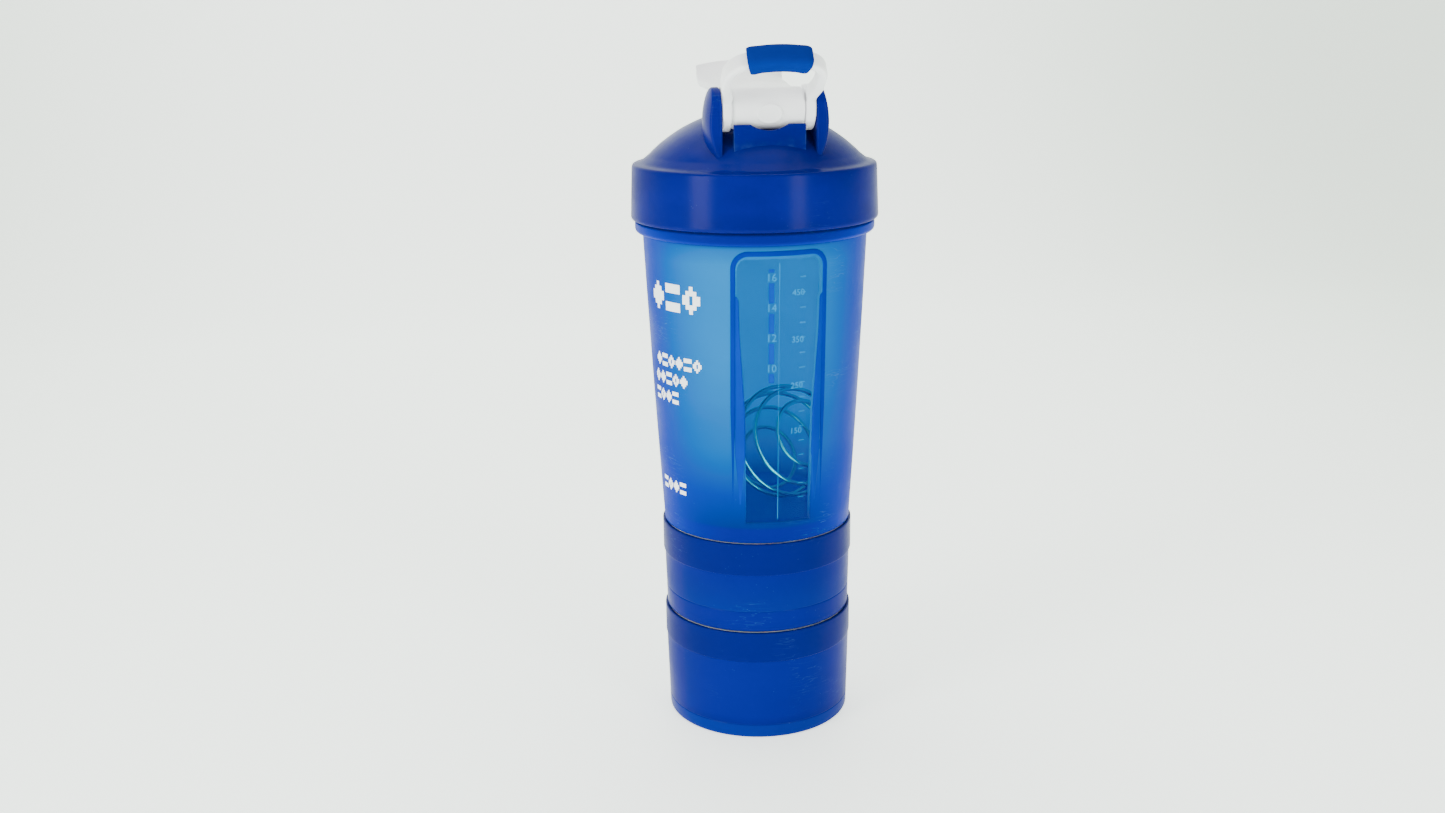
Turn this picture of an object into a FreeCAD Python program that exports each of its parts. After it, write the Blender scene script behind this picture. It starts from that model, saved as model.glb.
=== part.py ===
"""Shaker bottle: cup with screw lid, flip cap and carry loop, a wire whisk ball inside,
and two storage jars that screw together underneath, the upper one with a pill tray.

Millimetres.  +Z is up, the origin is the centre of the base, the flip cap's hinge is on
the -Y side and the spout is on the +Y side.  Every piece is modelled where it sits with
the bottle closed, and is written to parts/ as its own STEP file.
"""
import FreeCAD, Part
import math
import os

VEC = FreeCAD.Vector
ORIGIN = VEC(0, 0, 0)
X_AXIS = VEC(1, 0, 0)
Y_AXIS = VEC(0, 1, 0)
Z_AXIS = VEC(0, 0, 1)

# ---------------------------------------------------------------- clearances
RUNNING_GAP = 0.05      # radial, between a hinge stub and its eye
BODY_GAP = 0.35         # between two pieces that move past each other
SEAL_GAP = 0.30         # round a seal ring in its recess
THREAD_GAP = 0.40       # radial, from a thread crest to the wall it faces
OVERCUT = 1.0           # how far a cutting shape reaches past what it cuts
SAME = 1e-4             # two levels or radii nearer than this are the same

# ---------------------------------------------------------------- walls
JAR_WALL = 2.0
JAR_FLOOR = 2.0
CUP_WALL = 2.2
CUP_FLOOR = 2.0
LID_WALL = 3.0
COLLAR_WALL = 1.2       # what stays of a jar's collar outside the seal's recess
SEAL_RECESS = 1.0       # how far that recess reaches past the collar's bore
RIM_CHAMFER = 0.3
SOFT_EDGE = 0.4         # the small rounding on seals and on the flange's upper edge

# ---------------------------------------------------------------- jars
LOWER_JAR_HEIGHT = 45.1
LOWER_COLLAR_HEIGHT = 12.1
UPPER_JAR_HEIGHT = 36.2
UPPER_COLLAR_HEIGHT = 12.7
UPPER_COLLAR_RADIUS = 37.95    # the stack's widest radius: the other jar radii follow it
LOWER_COLLAR_RADIUS = UPPER_COLLAR_RADIUS - 0.3
UPPER_JAR_TOP_RADIUS = UPPER_COLLAR_RADIUS - 0.55
UPPER_JAR_BASE_RADIUS = UPPER_COLLAR_RADIUS - 1.15
LOWER_JAR_TOP_RADIUS = LOWER_COLLAR_RADIUS - 0.3
LOWER_JAR_BASE_RADIUS = LOWER_COLLAR_RADIUS - 1.15
JAR_JOINT_GAP = 0.4     # the line between one piece and the next
JAR_SHOULDER = 1.0      # height over which the inside narrows to the collar's bore
FOOT_ROUND = 1.4
FOOT_RING_WIDTH = 6.5   # base edge to the recess under the floor
FOOT_RECESS_DEPTH = 0.8
JAR_NECK_LENGTH = 10.5
JAR_NECK_WALL = 2.0

# ---------------------------------------------------------------- threads
JAR_THREAD_LEAD = 4.0
JAR_THREAD_HEIGHT = 1.2
JAR_THREAD_TURNS = 1.0
JAR_THREAD_ROOT = 2.0   # axial width at the wall
JAR_THREAD_CREST = 1.0  # axial width at the crest
LID_THREAD_LEAD = 5.5
LID_THREAD_HEIGHT = 1.5
LID_THREAD_TURNS = 1.4
LID_THREAD_ROOT = 2.8
LID_THREAD_CREST = 1.4
JAR_THREAD_START = 1.3  # first turn's middle above the neck's lower end
THREAD_ROOT_SINK = 0.35  # how far a ridge is rooted in its wall

# ---------------------------------------------------------------- pill tray
JAR_SEAL_THICKNESS = 1.2
TRAY_HEIGHT = 7.6
TRAY_WALL = 1.2
TRAY_RIBS = 2           # dividing walls right across
TRAY_RIB_TURN = 10.0    # degrees from the X axis to the first rib
TRAY_RIB_DROP = 0.6     # ribs stop below the tray's rim
TRAY_RIM_ROUND = 0.5

# ---------------------------------------------------------------- cup
CUP_BODY_HEIGHT = 115.4
CUP_MIDDLE_SHARE = 0.48
CUP_FLOOR_LIFT = 4.0    # the floor's underside above the cup's bottom edge
FLANGE_THICKNESS = 4.0
FLANGE_ROUND = 1.6
CUP_NECK_HEIGHT = 15.5
CUP_NECK_RADIUS = 42.4  # the mouth's outside: the cup's top, flange and lid follow it
CUP_NECK_WALL = 2.0
CUP_RIM_ROUND = 0.6
CUP_SWELL = 0.15        # the wall's middle stands this far outside a straight line
CUP_BASE_RADIUS = UPPER_COLLAR_RADIUS - 0.85
CUP_TOP_RADIUS = CUP_NECK_RADIUS + 0.8    # the wall just under the flange
CUP_MID_RADIUS = (CUP_BASE_RADIUS + CUP_TOP_RADIUS) / 2 + CUP_SWELL
FLANGE_STEP = 3.7       # the flange stands this far outside the mouth
FLANGE_RADIUS = CUP_NECK_RADIUS + FLANGE_STEP

# ---------------------------------------------------------------- lid
LID_GAP = 1.0           # between the flange and the lid's lower edge
LID_BAND_HEIGHT = 20.3
LID_SKIRT_WALL = 3.0
LID_SKIRT_GAP = 0.6     # cup's thread crest to the skirt's bore
LID_BORE = CUP_NECK_RADIUS + LID_THREAD_HEIGHT + LID_SKIRT_GAP
LID_BAND_RADIUS = LID_BORE + LID_SKIRT_WALL
LID_BAND_TOP_RADIUS = LID_BAND_RADIUS - 0.7
LID_EDGE_CHAMFER = 0.8
BAND_SHOULDER_DROP = 1.6      # the band's rounded shoulder starts below its top
BAND_SHOULDER_IN = 2.4        # and ends this far in
BAND_SHOULDER_RISE = 0.7      # and this far above
BAND_SHOULDER_BULGE = (0.75, 0.05)
FLARE_HOLLOW = (1.6, 1.9)     # outside the dome's foot, above the band's top
DOME_STEP = 7.2         # band to dome foot
DOME_FOOT_RADIUS = LID_BAND_RADIUS - DOME_STEP
DOME_RISE = 16.9        # dome foot to dome top
DOME_FLARE = 3.6        # band top to dome foot
LID_SEAL_THICKNESS = 1.8

# ---------------------------------------------------------------- hinge
HINGE_INSET = 14.8      # pivot inside the dome's foot
HINGE_BACK = DOME_FOOT_RADIUS - HINGE_INSET
HINGE_OVER_BAND = 22.2  # pivot above the top of the lid's band
STUB_RADIUS = 3.0
BARREL_HALF = 13.3      # half the flip cap's barrel
LOOP_LEG = 3.4          # the carry loop's leg width across the bottle
LEG_GAP = 0.25          # each side of a leg
EAR_THICKNESS = 3.9     # at its rear edge
EAR_INNER = BARREL_HALF + LOOP_LEG + 2 * LEG_GAP
EAR_OUTER = EAR_INNER + EAR_THICKNESS
EAR_BULGE = 1.9         # how far the middle of an ear's outer face swells past its edge
EAR_BULGE_RADIUS = 32.0
BARREL_RADIUS = 7.45
EAR_CREST = BARREL_RADIUS + 0.35       # ear's radius round the pivot
EAR_BEHIND = BARREL_RADIUS + 0.65      # ear's rear face behind the pivot
EAR_FRONT = 13.5        # ear's foot in front of the pivot
EAR_FOOT_DROP = 6.5     # below the pivot, where the sloping front edge ends
EAR_SHOULDER_RISE = 0.5  # above the pivot, where the rear edge turns round
EAR_CROWN_BACK = 0.6    # the highest point stands behind the pivot
EAR_CROWN_END = 35.0    # degrees above level where the round top meets the slope
EAR_BULGE_FORWARD = 1.5  # middle of the swelling, from the pivot
EAR_BULGE_DROP = 5.0
WALL_BEHIND_BARREL = 2.0
WALL_UNDER_BARREL = 1.0  # nearest the wall's top comes to the barrel
WALL_DIP = 2.2
WALL_DIP_HALF = 7.0
SLOT_BELOW_PIVOT = 12.2
WALL_UNDER_EYE = 0.2    # how far each slot reaches under the barrel's end
HINGE_ROOT = 17.5       # ears and wall start this far below the pivot, inside the dome
POCKET_RISE = 12.0      # the space over the pivot that is kept clear of the dome
STUB_ROOT = 0.6         # stub starts this far inside the ear's outer edge
STUB_REACH = 4.0        # into the flip cap's barrel

# ---------------------------------------------------------------- flip cap
BOSS_HALF_WIDTH = 4.8
BOSS_HALF_HEIGHT = 3.3
BOSS_RISE = 0.7
BOSS_ANGLE = 25.0       # below level, facing back
CAP_PLATE = 2.4
CAP_CROWN_RADIUS = 34.0
CAP_RISE_ANGLE = 4.6    # the plate climbs towards the spout
CAP_HALF_WIDTH = 17.4    # at the thumb tab
CAP_WAIST = 10.0        # stays as narrow as the barrel this far in front of the pivot
TAB_BEYOND_SPOUT = 14.0  # spout centre to the thumb tab's edge
TAB_LENGTH = 7.0
TAB_LIFT = 2.6
TAB_LIP = 1.1           # thickness at the very edge
TAB_SINK = 1.2          # how far the tab's inner end is buried in the plate
TAB_HEEL = 2.6          # tab's inner end above the plate's lowest edge
TAB_TOP_BEND = 2.6      # edge to the middle of the upper curve
TAB_UNDER_BEND = 2.4
TAB_UNDER_DROP = 2.0    # the lower curve's middle below the upper one's
TAB_CORNER = 2.5        # the front edge's bow from corner to middle
CAP_BACK_REACH = 10.0   # the plate's tube starts behind the pivot
CAP_PLAN_DEPTH = 4.0    # plan prism's start below the pivot
CAP_PLAN_HEIGHT = 30.0
CAP_RING_DEPTH = 5.2
CAP_RING_WALL = 1.4
CAP_RING_TOP = 2.2      # over the barrel, inside the plate
CAP_RING_LIFT = 1.4
CAP_ROD = 120.0         # long enough to pass right through the plate
PLUG_PEG_RISE = 0.6     # the peg's lower end over the spout
PLUG_PEG_TOP = 2.6      # over the barrel, inside the plate
PLUG_PEG_INSET = 3.0    # peg and the plug's hollow, inside the bore
PLUG_TOP = 2.0          # thickness over the hollow
EYE_DEPTH = 6.0         # reach of the stub's eye, from outside the barrel's end

# ---------------------------------------------------------------- spout
SPOUT_INSET = 18.8      # spout centre inside the dome's foot
SPOUT_FORWARD = DOME_FOOT_RADIUS - SPOUT_INSET
SPOUT_RADIUS = 12.0
SPOUT_BORE = 9.6
SPOUT_LIP_ROUND = 0.8
BORE_BELOW = 10.0       # the bore starts below the dome
BORE_LENGTH = 60.0
SPOUT_UNDER_PLATE = 0.43
PLUG_DEPTH = 5.0
PLUG_TAPER = 1.1
PLUG_GAP = 0.75
CAP_REACH = HINGE_BACK + SPOUT_FORWARD + TAB_BEYOND_SPOUT
CAP_CLIMB = math.tan(math.radians(CAP_RISE_ANGLE)) * (HINGE_BACK + SPOUT_FORWARD)
CAP_CROWN_DROP = CAP_CROWN_RADIUS - math.sqrt(CAP_CROWN_RADIUS ** 2 - SPOUT_RADIUS ** 2)
SPOUT_OVER_PIVOT = (BARREL_RADIUS - CAP_PLATE + CAP_CLIMB - CAP_CROWN_DROP
                    - SPOUT_UNDER_PLATE)

# ---------------------------------------------------------------- carry loop
LOOP_REACH = 31.4       # pivot to the middle of the bar
LOOP_DEPTH = 6.4        # leg and bar depth through the loop
LOOP_EYE_RADIUS = BARREL_RADIUS + 0.85
LOOP_SPLAY = 1.5        # how far the legs spread above the ears
LOOP_CORNER = 9.0
LOOP_BAR_RADIUS = 34.0  # the bar is arched
LOOP_LEAN = 54.0        # back from upright
LOOP_SECTION_ROUND = 1.5
LOOP_KNEE = 9.0         # the legs start to spread this far above the pivot
LOOP_SPLAY_END = 16.0
EYE_ROUND = 0.5
GRIP_TALL = 7.8         # across the bar, in the loop's plane
GRIP_DEEP = 9.0         # through the loop
GRIP_ROUND = 3.0

# ---------------------------------------------------------------- whisk ball
WHISK_RADIUS = 23.0
WHISK_WIRE = 0.8
WHISK_TURNS = 5.5
WHISK_POINTS_PER_TURN = 12
WHISK_POLE = 24.0       # degrees from the pole where the spiral starts
WHISK_TILT = 30.0       # spiral axis away from level
WHISK_SWING = 20.0      # spiral axis away from the Y axis, seen from above
WHISK_REST_GAP = 0.4    # off the floor
WHISK_WALL_GAP = 1.4    # off the cup's wall

# ---------------------------------------------------------------- levels
LOWER_TOP = LOWER_JAR_HEIGHT
UPPER_BOTTOM = LOWER_TOP + JAR_JOINT_GAP
UPPER_TOP = UPPER_BOTTOM + UPPER_JAR_HEIGHT
CUP_BOTTOM = UPPER_TOP + JAR_JOINT_GAP
CUP_INSIDE = CUP_BOTTOM + CUP_FLOOR_LIFT + CUP_FLOOR
FLANGE_BOTTOM = CUP_BOTTOM + CUP_BODY_HEIGHT
FLANGE_TOP = FLANGE_BOTTOM + FLANGE_THICKNESS
CUP_RIM = FLANGE_TOP + CUP_NECK_HEIGHT
LID_BOTTOM = FLANGE_TOP + LID_GAP
LID_BAND_TOP = LID_BOTTOM + LID_BAND_HEIGHT
DOME_FOOT = LID_BAND_TOP + DOME_FLARE
DOME_TOP = DOME_FOOT + DOME_RISE
PIVOT_Z = LID_BAND_TOP + HINGE_OVER_BAND
PIVOT_Y = -HINGE_BACK
PIVOT = VEC(0, PIVOT_Y, PIVOT_Z)
TRAY_BOTTOM = UPPER_BOTTOM + JAR_FLOOR + SEAL_GAP


# ================================================================ helpers
def ring(outer, inner, bottom, top):
    """A plain tube about the bottle's axis."""
    tube = Part.makeCylinder(outer, top - bottom, VEC(0, 0, bottom))
    hole = Part.makeCylinder(inner, top - bottom, VEC(0, 0, bottom))
    return tube.cut(hole)


def revolved(outline):
    """A closed (radius, height) outline turned about the bottle's axis."""
    points = [VEC(radius, 0, height) for radius, height in outline]
    face = Part.Face(Part.makePolygon(points + [points[0]]))
    return face.revolve(ORIGIN, Z_AXIS, 360)


def revolved_edges(edges):
    """A closed chain of edges in the XZ plane turned about the bottle's axis."""
    face = Part.Face(Part.Wire(edges))
    return face.revolve(ORIGIN, Z_AXIS, 360)


def straight(start, end):
    """A straight edge between two (radius, height) points."""
    return Part.makeLine(VEC(start[0], 0, start[1]), VEC(end[0], 0, end[1]))


def curved(start, middle, end):
    """A circular edge through three (radius, height) points."""
    return Part.Arc(VEC(start[0], 0, start[1]), VEC(middle[0], 0, middle[1]),
                    VEC(end[0], 0, end[1])).toShape()


def across(radius, half_length, centre):
    """A cylinder lying along X, centred on a point."""
    return Part.makeCylinder(radius, 2 * half_length, centre - X_AXIS * half_length, X_AXIS)


def block(low, high):
    """A box from its low corner to its high corner."""
    return Part.makeBox(high[0] - low[0], high[1] - low[1], high[2] - low[2], VEC(*low))


def thread_ridge(wall_radius, height, lead, turns, bottom, root, crest):
    """One helical ridge on a wall.  A negative height makes it stand inwards."""
    sink = math.copysign(THREAD_ROOT_SINK, height)
    foot = wall_radius - sink
    helix = Part.makeHelix(lead, lead * turns, foot)
    spread = root * (1 + THREAD_ROOT_SINK / abs(height) * (root - crest) / root)
    corners = [VEC(foot, 0, -spread / 2),
               VEC(wall_radius + height, 0, -crest / 2),
               VEC(wall_radius + height, 0, crest / 2),
               VEC(foot, 0, spread / 2)]
    section = Part.makePolygon(corners + [corners[0]])
    ridge = Part.Wire(helix).makePipeShell([section], True, True)
    ridge.translate(VEC(0, 0, bottom))
    return ridge


def jar_ridge(wall_radius, height, bottom):
    """A jar thread's ridge: outwards on a neck, inwards in a collar."""
    return thread_ridge(wall_radius, height, JAR_THREAD_LEAD, JAR_THREAD_TURNS, bottom,
                        JAR_THREAD_ROOT, JAR_THREAD_CREST)


def lid_ridge(wall_radius, height, bottom):
    """The lid thread's ridge: outwards on the cup's neck, inwards in the lid."""
    return thread_ridge(wall_radius, height, LID_THREAD_LEAD, LID_THREAD_TURNS, bottom,
                        LID_THREAD_ROOT, LID_THREAD_CREST)


def neck_radius(collar_radius):
    """The jar neck that screws into a collar of this outer radius."""
    return collar_radius - COLLAR_WALL - SEAL_RECESS - JAR_THREAD_HEIGHT - THREAD_GAP


def collar_bore(collar_radius):
    """The bore of a collar, which faces the neck's thread crest across the thread gap."""
    return neck_radius(collar_radius) + JAR_THREAD_HEIGHT + THREAD_GAP


# ================================================================ jars
def screw_neck(collar_radius, joint_level, top):
    """The threaded neck under a jar or the cup, from its lower end up to a level."""
    radius = neck_radius(collar_radius)
    bottom = joint_level - JAR_NECK_LENGTH
    neck = ring(radius, radius - JAR_NECK_WALL, bottom, top)
    return neck.fuse(jar_ridge(radius, JAR_THREAD_HEIGHT, bottom + JAR_THREAD_START))


def screw_jar(bottom, top, base_radius, top_radius, collar_height, collar_radius):
    """A jar with its threaded collar, closed below by a floor."""
    shoulder = top - collar_height
    bore = collar_bore(collar_radius)
    body = revolved([(0, bottom), (base_radius, bottom), (top_radius, shoulder),
                     (0, shoulder)])
    collar = Part.makeCylinder(collar_radius, collar_height, VEC(0, 0, shoulder))
    collar = collar.makeChamfer(RIM_CHAMFER, [edge_at(collar, top, collar_radius)])
    inside = revolved([(0, bottom + JAR_FLOOR), (base_radius - JAR_WALL, bottom + JAR_FLOOR),
                       (bore, shoulder + JAR_SHOULDER), (bore, top), (0, top)])
    recess_depth = JAR_SEAL_THICKNESS + SEAL_GAP
    recess = Part.makeCylinder(bore + SEAL_RECESS, recess_depth, VEC(0, 0, top - recess_depth))
    jar = body.fuse(collar).cut(inside).cut(recess)
    neck_bottom = top + JAR_JOINT_GAP - JAR_NECK_LENGTH
    ridge_bottom = neck_bottom + JAR_THREAD_START + JAR_THREAD_LEAD / 2
    return jar.fuse(jar_ridge(bore, -JAR_THREAD_HEIGHT, ridge_bottom)).removeSplitter()


def edge_at(shape, height, radius):
    """The circular edge of a shape at a height and radius about the bottle's axis."""
    for edge in shape.Edges:
        curve = edge.Curve
        if isinstance(curve, Part.Circle):
            same_height = abs(curve.Center.z - height) < SAME
            if same_height and abs(curve.Radius - radius) < SAME:
                return edge
    raise ValueError("no circular edge there")


def make_lower_jar():
    """The lower jar, with a rounded foot and a shallow recess under its floor."""
    jar = screw_jar(0, LOWER_TOP, LOWER_JAR_BASE_RADIUS, LOWER_JAR_TOP_RADIUS,
                    LOWER_COLLAR_HEIGHT, LOWER_COLLAR_RADIUS)
    jar = jar.makeFillet(FOOT_ROUND, [edge_at(jar, 0, LOWER_JAR_BASE_RADIUS)])
    recess_radius = LOWER_JAR_BASE_RADIUS - FOOT_RING_WIDTH
    recess = Part.makeCone(recess_radius, recess_radius - FOOT_RECESS_DEPTH, FOOT_RECESS_DEPTH)
    return jar.cut(recess)


def make_upper_jar():
    """The upper jar: its neck screws into the lower jar's collar."""
    jar = screw_jar(UPPER_BOTTOM, UPPER_TOP, UPPER_JAR_BASE_RADIUS, UPPER_JAR_TOP_RADIUS,
                    UPPER_COLLAR_HEIGHT, UPPER_COLLAR_RADIUS)
    return jar.fuse(screw_neck(LOWER_COLLAR_RADIUS, UPPER_BOTTOM, UPPER_BOTTOM + JAR_FLOOR / 2))


def make_jar_seal(collar_radius, joint_level):
    """The seal ring in the top of a jar's collar, round the neck that screws in."""
    inner = neck_radius(collar_radius) + SEAL_GAP
    outer = collar_bore(collar_radius) + SEAL_RECESS - SEAL_GAP
    top = joint_level - JAR_JOINT_GAP
    bar = ring(outer, inner, top - JAR_SEAL_THICKNESS, top)
    rims = [edge_at(bar, top, outer), edge_at(bar, top, inner)]
    return bar.makeFillet(SOFT_EDGE, rims)


def make_pill_tray():
    """A round tray on the upper jar's floor, divided by walls right across."""
    radius = UPPER_JAR_BASE_RADIUS - JAR_WALL - 2 * BODY_GAP
    top = TRAY_BOTTOM + TRAY_HEIGHT
    tray = Part.makeCylinder(radius, TRAY_HEIGHT, VEC(0, 0, TRAY_BOTTOM))
    tray = tray.makeFillet(TRAY_RIM_ROUND, [edge_at(tray, top, radius)])
    hollow = Part.makeCylinder(radius - TRAY_WALL, TRAY_HEIGHT,
                               VEC(0, 0, TRAY_BOTTOM + TRAY_WALL))
    for index in range(TRAY_RIBS):
        rib = block((-radius, -TRAY_WALL / 2, TRAY_BOTTOM),
                    (radius, TRAY_WALL / 2, top - TRAY_RIB_DROP))
        rib.rotate(ORIGIN, Z_AXIS, 180 * index / TRAY_RIBS + TRAY_RIB_TURN)
        hollow = hollow.cut(rib)
    return tray.cut(hollow)


# ================================================================ cup
def make_cup():
    """The cup: a tapered wall, a flange, a threaded mouth above and a threaded neck below."""
    middle = CUP_BOTTOM + CUP_BODY_HEIGHT * CUP_MIDDLE_SHARE
    edges = [straight((0, CUP_BOTTOM), (CUP_BASE_RADIUS, CUP_BOTTOM)),
             curved((CUP_BASE_RADIUS, CUP_BOTTOM), (CUP_MID_RADIUS, middle),
                    (CUP_TOP_RADIUS, FLANGE_BOTTOM)),
             straight((CUP_TOP_RADIUS, FLANGE_BOTTOM), (0, FLANGE_BOTTOM)),
             straight((0, FLANGE_BOTTOM), (0, CUP_BOTTOM))]
    body = revolved_edges(edges)
    flange = Part.makeCylinder(FLANGE_RADIUS, FLANGE_THICKNESS, VEC(0, 0, FLANGE_BOTTOM))
    flange = flange.makeFillet(FLANGE_ROUND, [edge_at(flange, FLANGE_BOTTOM, FLANGE_RADIUS)])
    flange = flange.makeFillet(SOFT_EDGE, [edge_at(flange, FLANGE_TOP, FLANGE_RADIUS)])
    neck = Part.makeCylinder(CUP_NECK_RADIUS, CUP_NECK_HEIGHT, VEC(0, 0, FLANGE_TOP))
    neck = neck.makeFillet(CUP_RIM_ROUND, [edge_at(neck, CUP_RIM, CUP_NECK_RADIUS)])
    mouth = CUP_NECK_RADIUS - CUP_NECK_WALL
    inside_edges = [
        straight((0, CUP_INSIDE), (CUP_BASE_RADIUS - CUP_WALL, CUP_INSIDE)),
        curved((CUP_BASE_RADIUS - CUP_WALL, CUP_INSIDE), (CUP_MID_RADIUS - CUP_WALL, middle),
               (mouth, FLANGE_BOTTOM)),
        straight((mouth, FLANGE_BOTTOM), (mouth, CUP_RIM)),
        straight((mouth, CUP_RIM), (0, CUP_RIM)),
        straight((0, CUP_RIM), (0, CUP_INSIDE))]
    inside = revolved_edges(inside_edges)
    neck_wall = neck_radius(UPPER_COLLAR_RADIUS) - JAR_NECK_WALL
    underside = Part.makeCylinder(neck_wall, CUP_FLOOR_LIFT, VEC(0, 0, CUP_BOTTOM))
    cup = body.fuse(flange).fuse(neck).cut(inside).cut(underside)
    cup = cup.fuse(screw_neck(UPPER_COLLAR_RADIUS, CUP_BOTTOM, CUP_BOTTOM + CUP_FLOOR / 2))
    ridge_bottom = FLANGE_TOP + LID_THREAD_ROOT
    return cup.fuse(lid_ridge(CUP_NECK_RADIUS, LID_THREAD_HEIGHT, ridge_bottom))


# ================================================================ lid
def dome_arc(inset):
    """Three points on the dome's circle, moved inwards: its foot, shoulder and top."""
    chord = DOME_FOOT_RADIUS
    dome_radius = (chord ** 2 + DOME_RISE ** 2) / (2 * DOME_RISE)
    centre = DOME_TOP - dome_radius
    sweep = math.asin(chord / dome_radius)
    radius = dome_radius - inset

    def at(share):
        angle = sweep * share
        return (radius * math.sin(angle), centre + radius * math.cos(angle))

    return at(1.0), at(0.5), at(0.0)


def lid_shell():
    """The lid's band, concave flare and dome, hollow inside."""
    foot, shoulder, top = dome_arc(0)
    band_edge = (LID_BAND_TOP_RADIUS, LID_BAND_TOP - BAND_SHOULDER_DROP)
    bulge_in, bulge_up = BAND_SHOULDER_BULGE
    bulge = (LID_BAND_TOP_RADIUS - bulge_in, LID_BAND_TOP + bulge_up)
    flare_start = (LID_BAND_TOP_RADIUS - BAND_SHOULDER_IN, LID_BAND_TOP + BAND_SHOULDER_RISE)
    hollow_out, hollow_up = FLARE_HOLLOW
    hollow = (DOME_FOOT_RADIUS + hollow_out, LID_BAND_TOP + hollow_up)
    edges = [
        straight((0, LID_BOTTOM), (LID_BAND_RADIUS - LID_EDGE_CHAMFER, LID_BOTTOM)),
        straight((LID_BAND_RADIUS - LID_EDGE_CHAMFER, LID_BOTTOM),
                 (LID_BAND_RADIUS, LID_BOTTOM + LID_EDGE_CHAMFER)),
        straight((LID_BAND_RADIUS, LID_BOTTOM + LID_EDGE_CHAMFER), band_edge),
        curved(band_edge, bulge, flare_start),
        curved(flare_start, hollow, foot),
        curved(foot, shoulder, top),
        straight(top, (0, LID_BOTTOM))]
    outside = revolved_edges(edges)
    in_foot, in_shoulder, in_top = dome_arc(LID_WALL)
    ceiling = CUP_RIM + LID_SEAL_THICKNESS + 2 * SEAL_GAP
    inside_edges = [
        straight((0, LID_BOTTOM), (LID_BORE, LID_BOTTOM)),
        straight((LID_BORE, LID_BOTTOM), (LID_BORE, ceiling)),
        straight((LID_BORE, ceiling), (in_foot[0], ceiling)),
        straight((in_foot[0], ceiling), in_foot),
        curved(in_foot, in_shoulder, in_top),
        straight(in_top, (0, LID_BOTTOM))]
    return outside.cut(revolved_edges(inside_edges))


def side_plate(outline, inner_x, outer_x):
    """A plate with a (y, z) outline of edges, between two x values."""
    face = Part.Face(Part.Wire(outline))
    plate = face.extrude(VEC(outer_x - inner_x, 0, 0))
    plate.translate(VEC(inner_x, 0, 0))
    return plate


def ear(inner_x, outer_x):
    """One hinge ear: round over the pivot, upright behind, its outer face swollen."""
    rear = PIVOT_Y - EAR_BEHIND
    base = PIVOT_Z - HINGE_ROOT
    shoulder_z = PIVOT_Z + EAR_SHOULDER_RISE
    front_angle = math.radians(EAR_CROWN_END)
    front_y = PIVOT_Y + EAR_CREST * math.cos(front_angle)
    front_z = PIVOT_Z + EAR_CREST * math.sin(front_angle)
    start = VEC(0, rear, shoulder_z)
    crown = VEC(0, PIVOT_Y - EAR_CROWN_BACK, PIVOT_Z + EAR_CREST)
    end = VEC(0, front_y, front_z)
    foot = VEC(0, PIVOT_Y + EAR_FRONT, PIVOT_Z - EAR_FOOT_DROP)
    corners = [foot, VEC(0, PIVOT_Y + EAR_FRONT, base), VEC(0, rear, base), start]
    outline = [Part.Arc(start, crown, end).toShape(), Part.makeLine(end, foot)]
    outline += [Part.makeLine(a, b) for a, b in zip(corners, corners[1:])]
    side = math.copysign(1, outer_x + inner_x)
    swell = EAR_BULGE * side
    if side > 0:
        plate = side_plate(outline, inner_x, outer_x + swell)
    else:
        plate = side_plate(outline, inner_x + swell, outer_x)
    centre_x = side * (EAR_OUTER + EAR_BULGE - EAR_BULGE_RADIUS)
    centre = VEC(centre_x, PIVOT_Y + EAR_BULGE_FORWARD, PIVOT_Z - EAR_BULGE_DROP)
    return plate.common(Part.makeSphere(EAR_BULGE_RADIUS, centre))


def back_wall():
    """The wall between the ears behind the barrel, dipped in the middle and slotted."""
    rear = PIVOT_Y - EAR_BEHIND
    front_reach = EAR_BEHIND - WALL_BEHIND_BARREL
    barrel_drop = math.sqrt(BARREL_RADIUS ** 2 - front_reach ** 2)
    wall_top = PIVOT_Z - barrel_drop - WALL_UNDER_BARREL
    side_reach = EAR_INNER + OVERCUT
    wall = block((-side_reach, rear, PIVOT_Z - HINGE_ROOT),
                 (side_reach, rear + WALL_BEHIND_BARREL, wall_top))
    dip_radius = (WALL_DIP_HALF ** 2 + WALL_DIP ** 2) / (2 * WALL_DIP)
    dip_centre = VEC(0, rear - OVERCUT, wall_top - WALL_DIP + dip_radius)
    dip_depth = WALL_BEHIND_BARREL + 2 * OVERCUT
    wall = wall.cut(Part.makeCylinder(dip_radius, dip_depth, dip_centre, Y_AXIS))
    for side in (-1, 1):
        near = side * (BARREL_HALF - WALL_UNDER_EYE)
        far = side * EAR_INNER
        low = (min(near, far), rear - OVERCUT, PIVOT_Z - SLOT_BELOW_PIVOT)
        high = (max(near, far), rear + WALL_BEHIND_BARREL + OVERCUT, PIVOT_Z)
        wall = wall.cut(block(low, high))
    return wall


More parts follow.
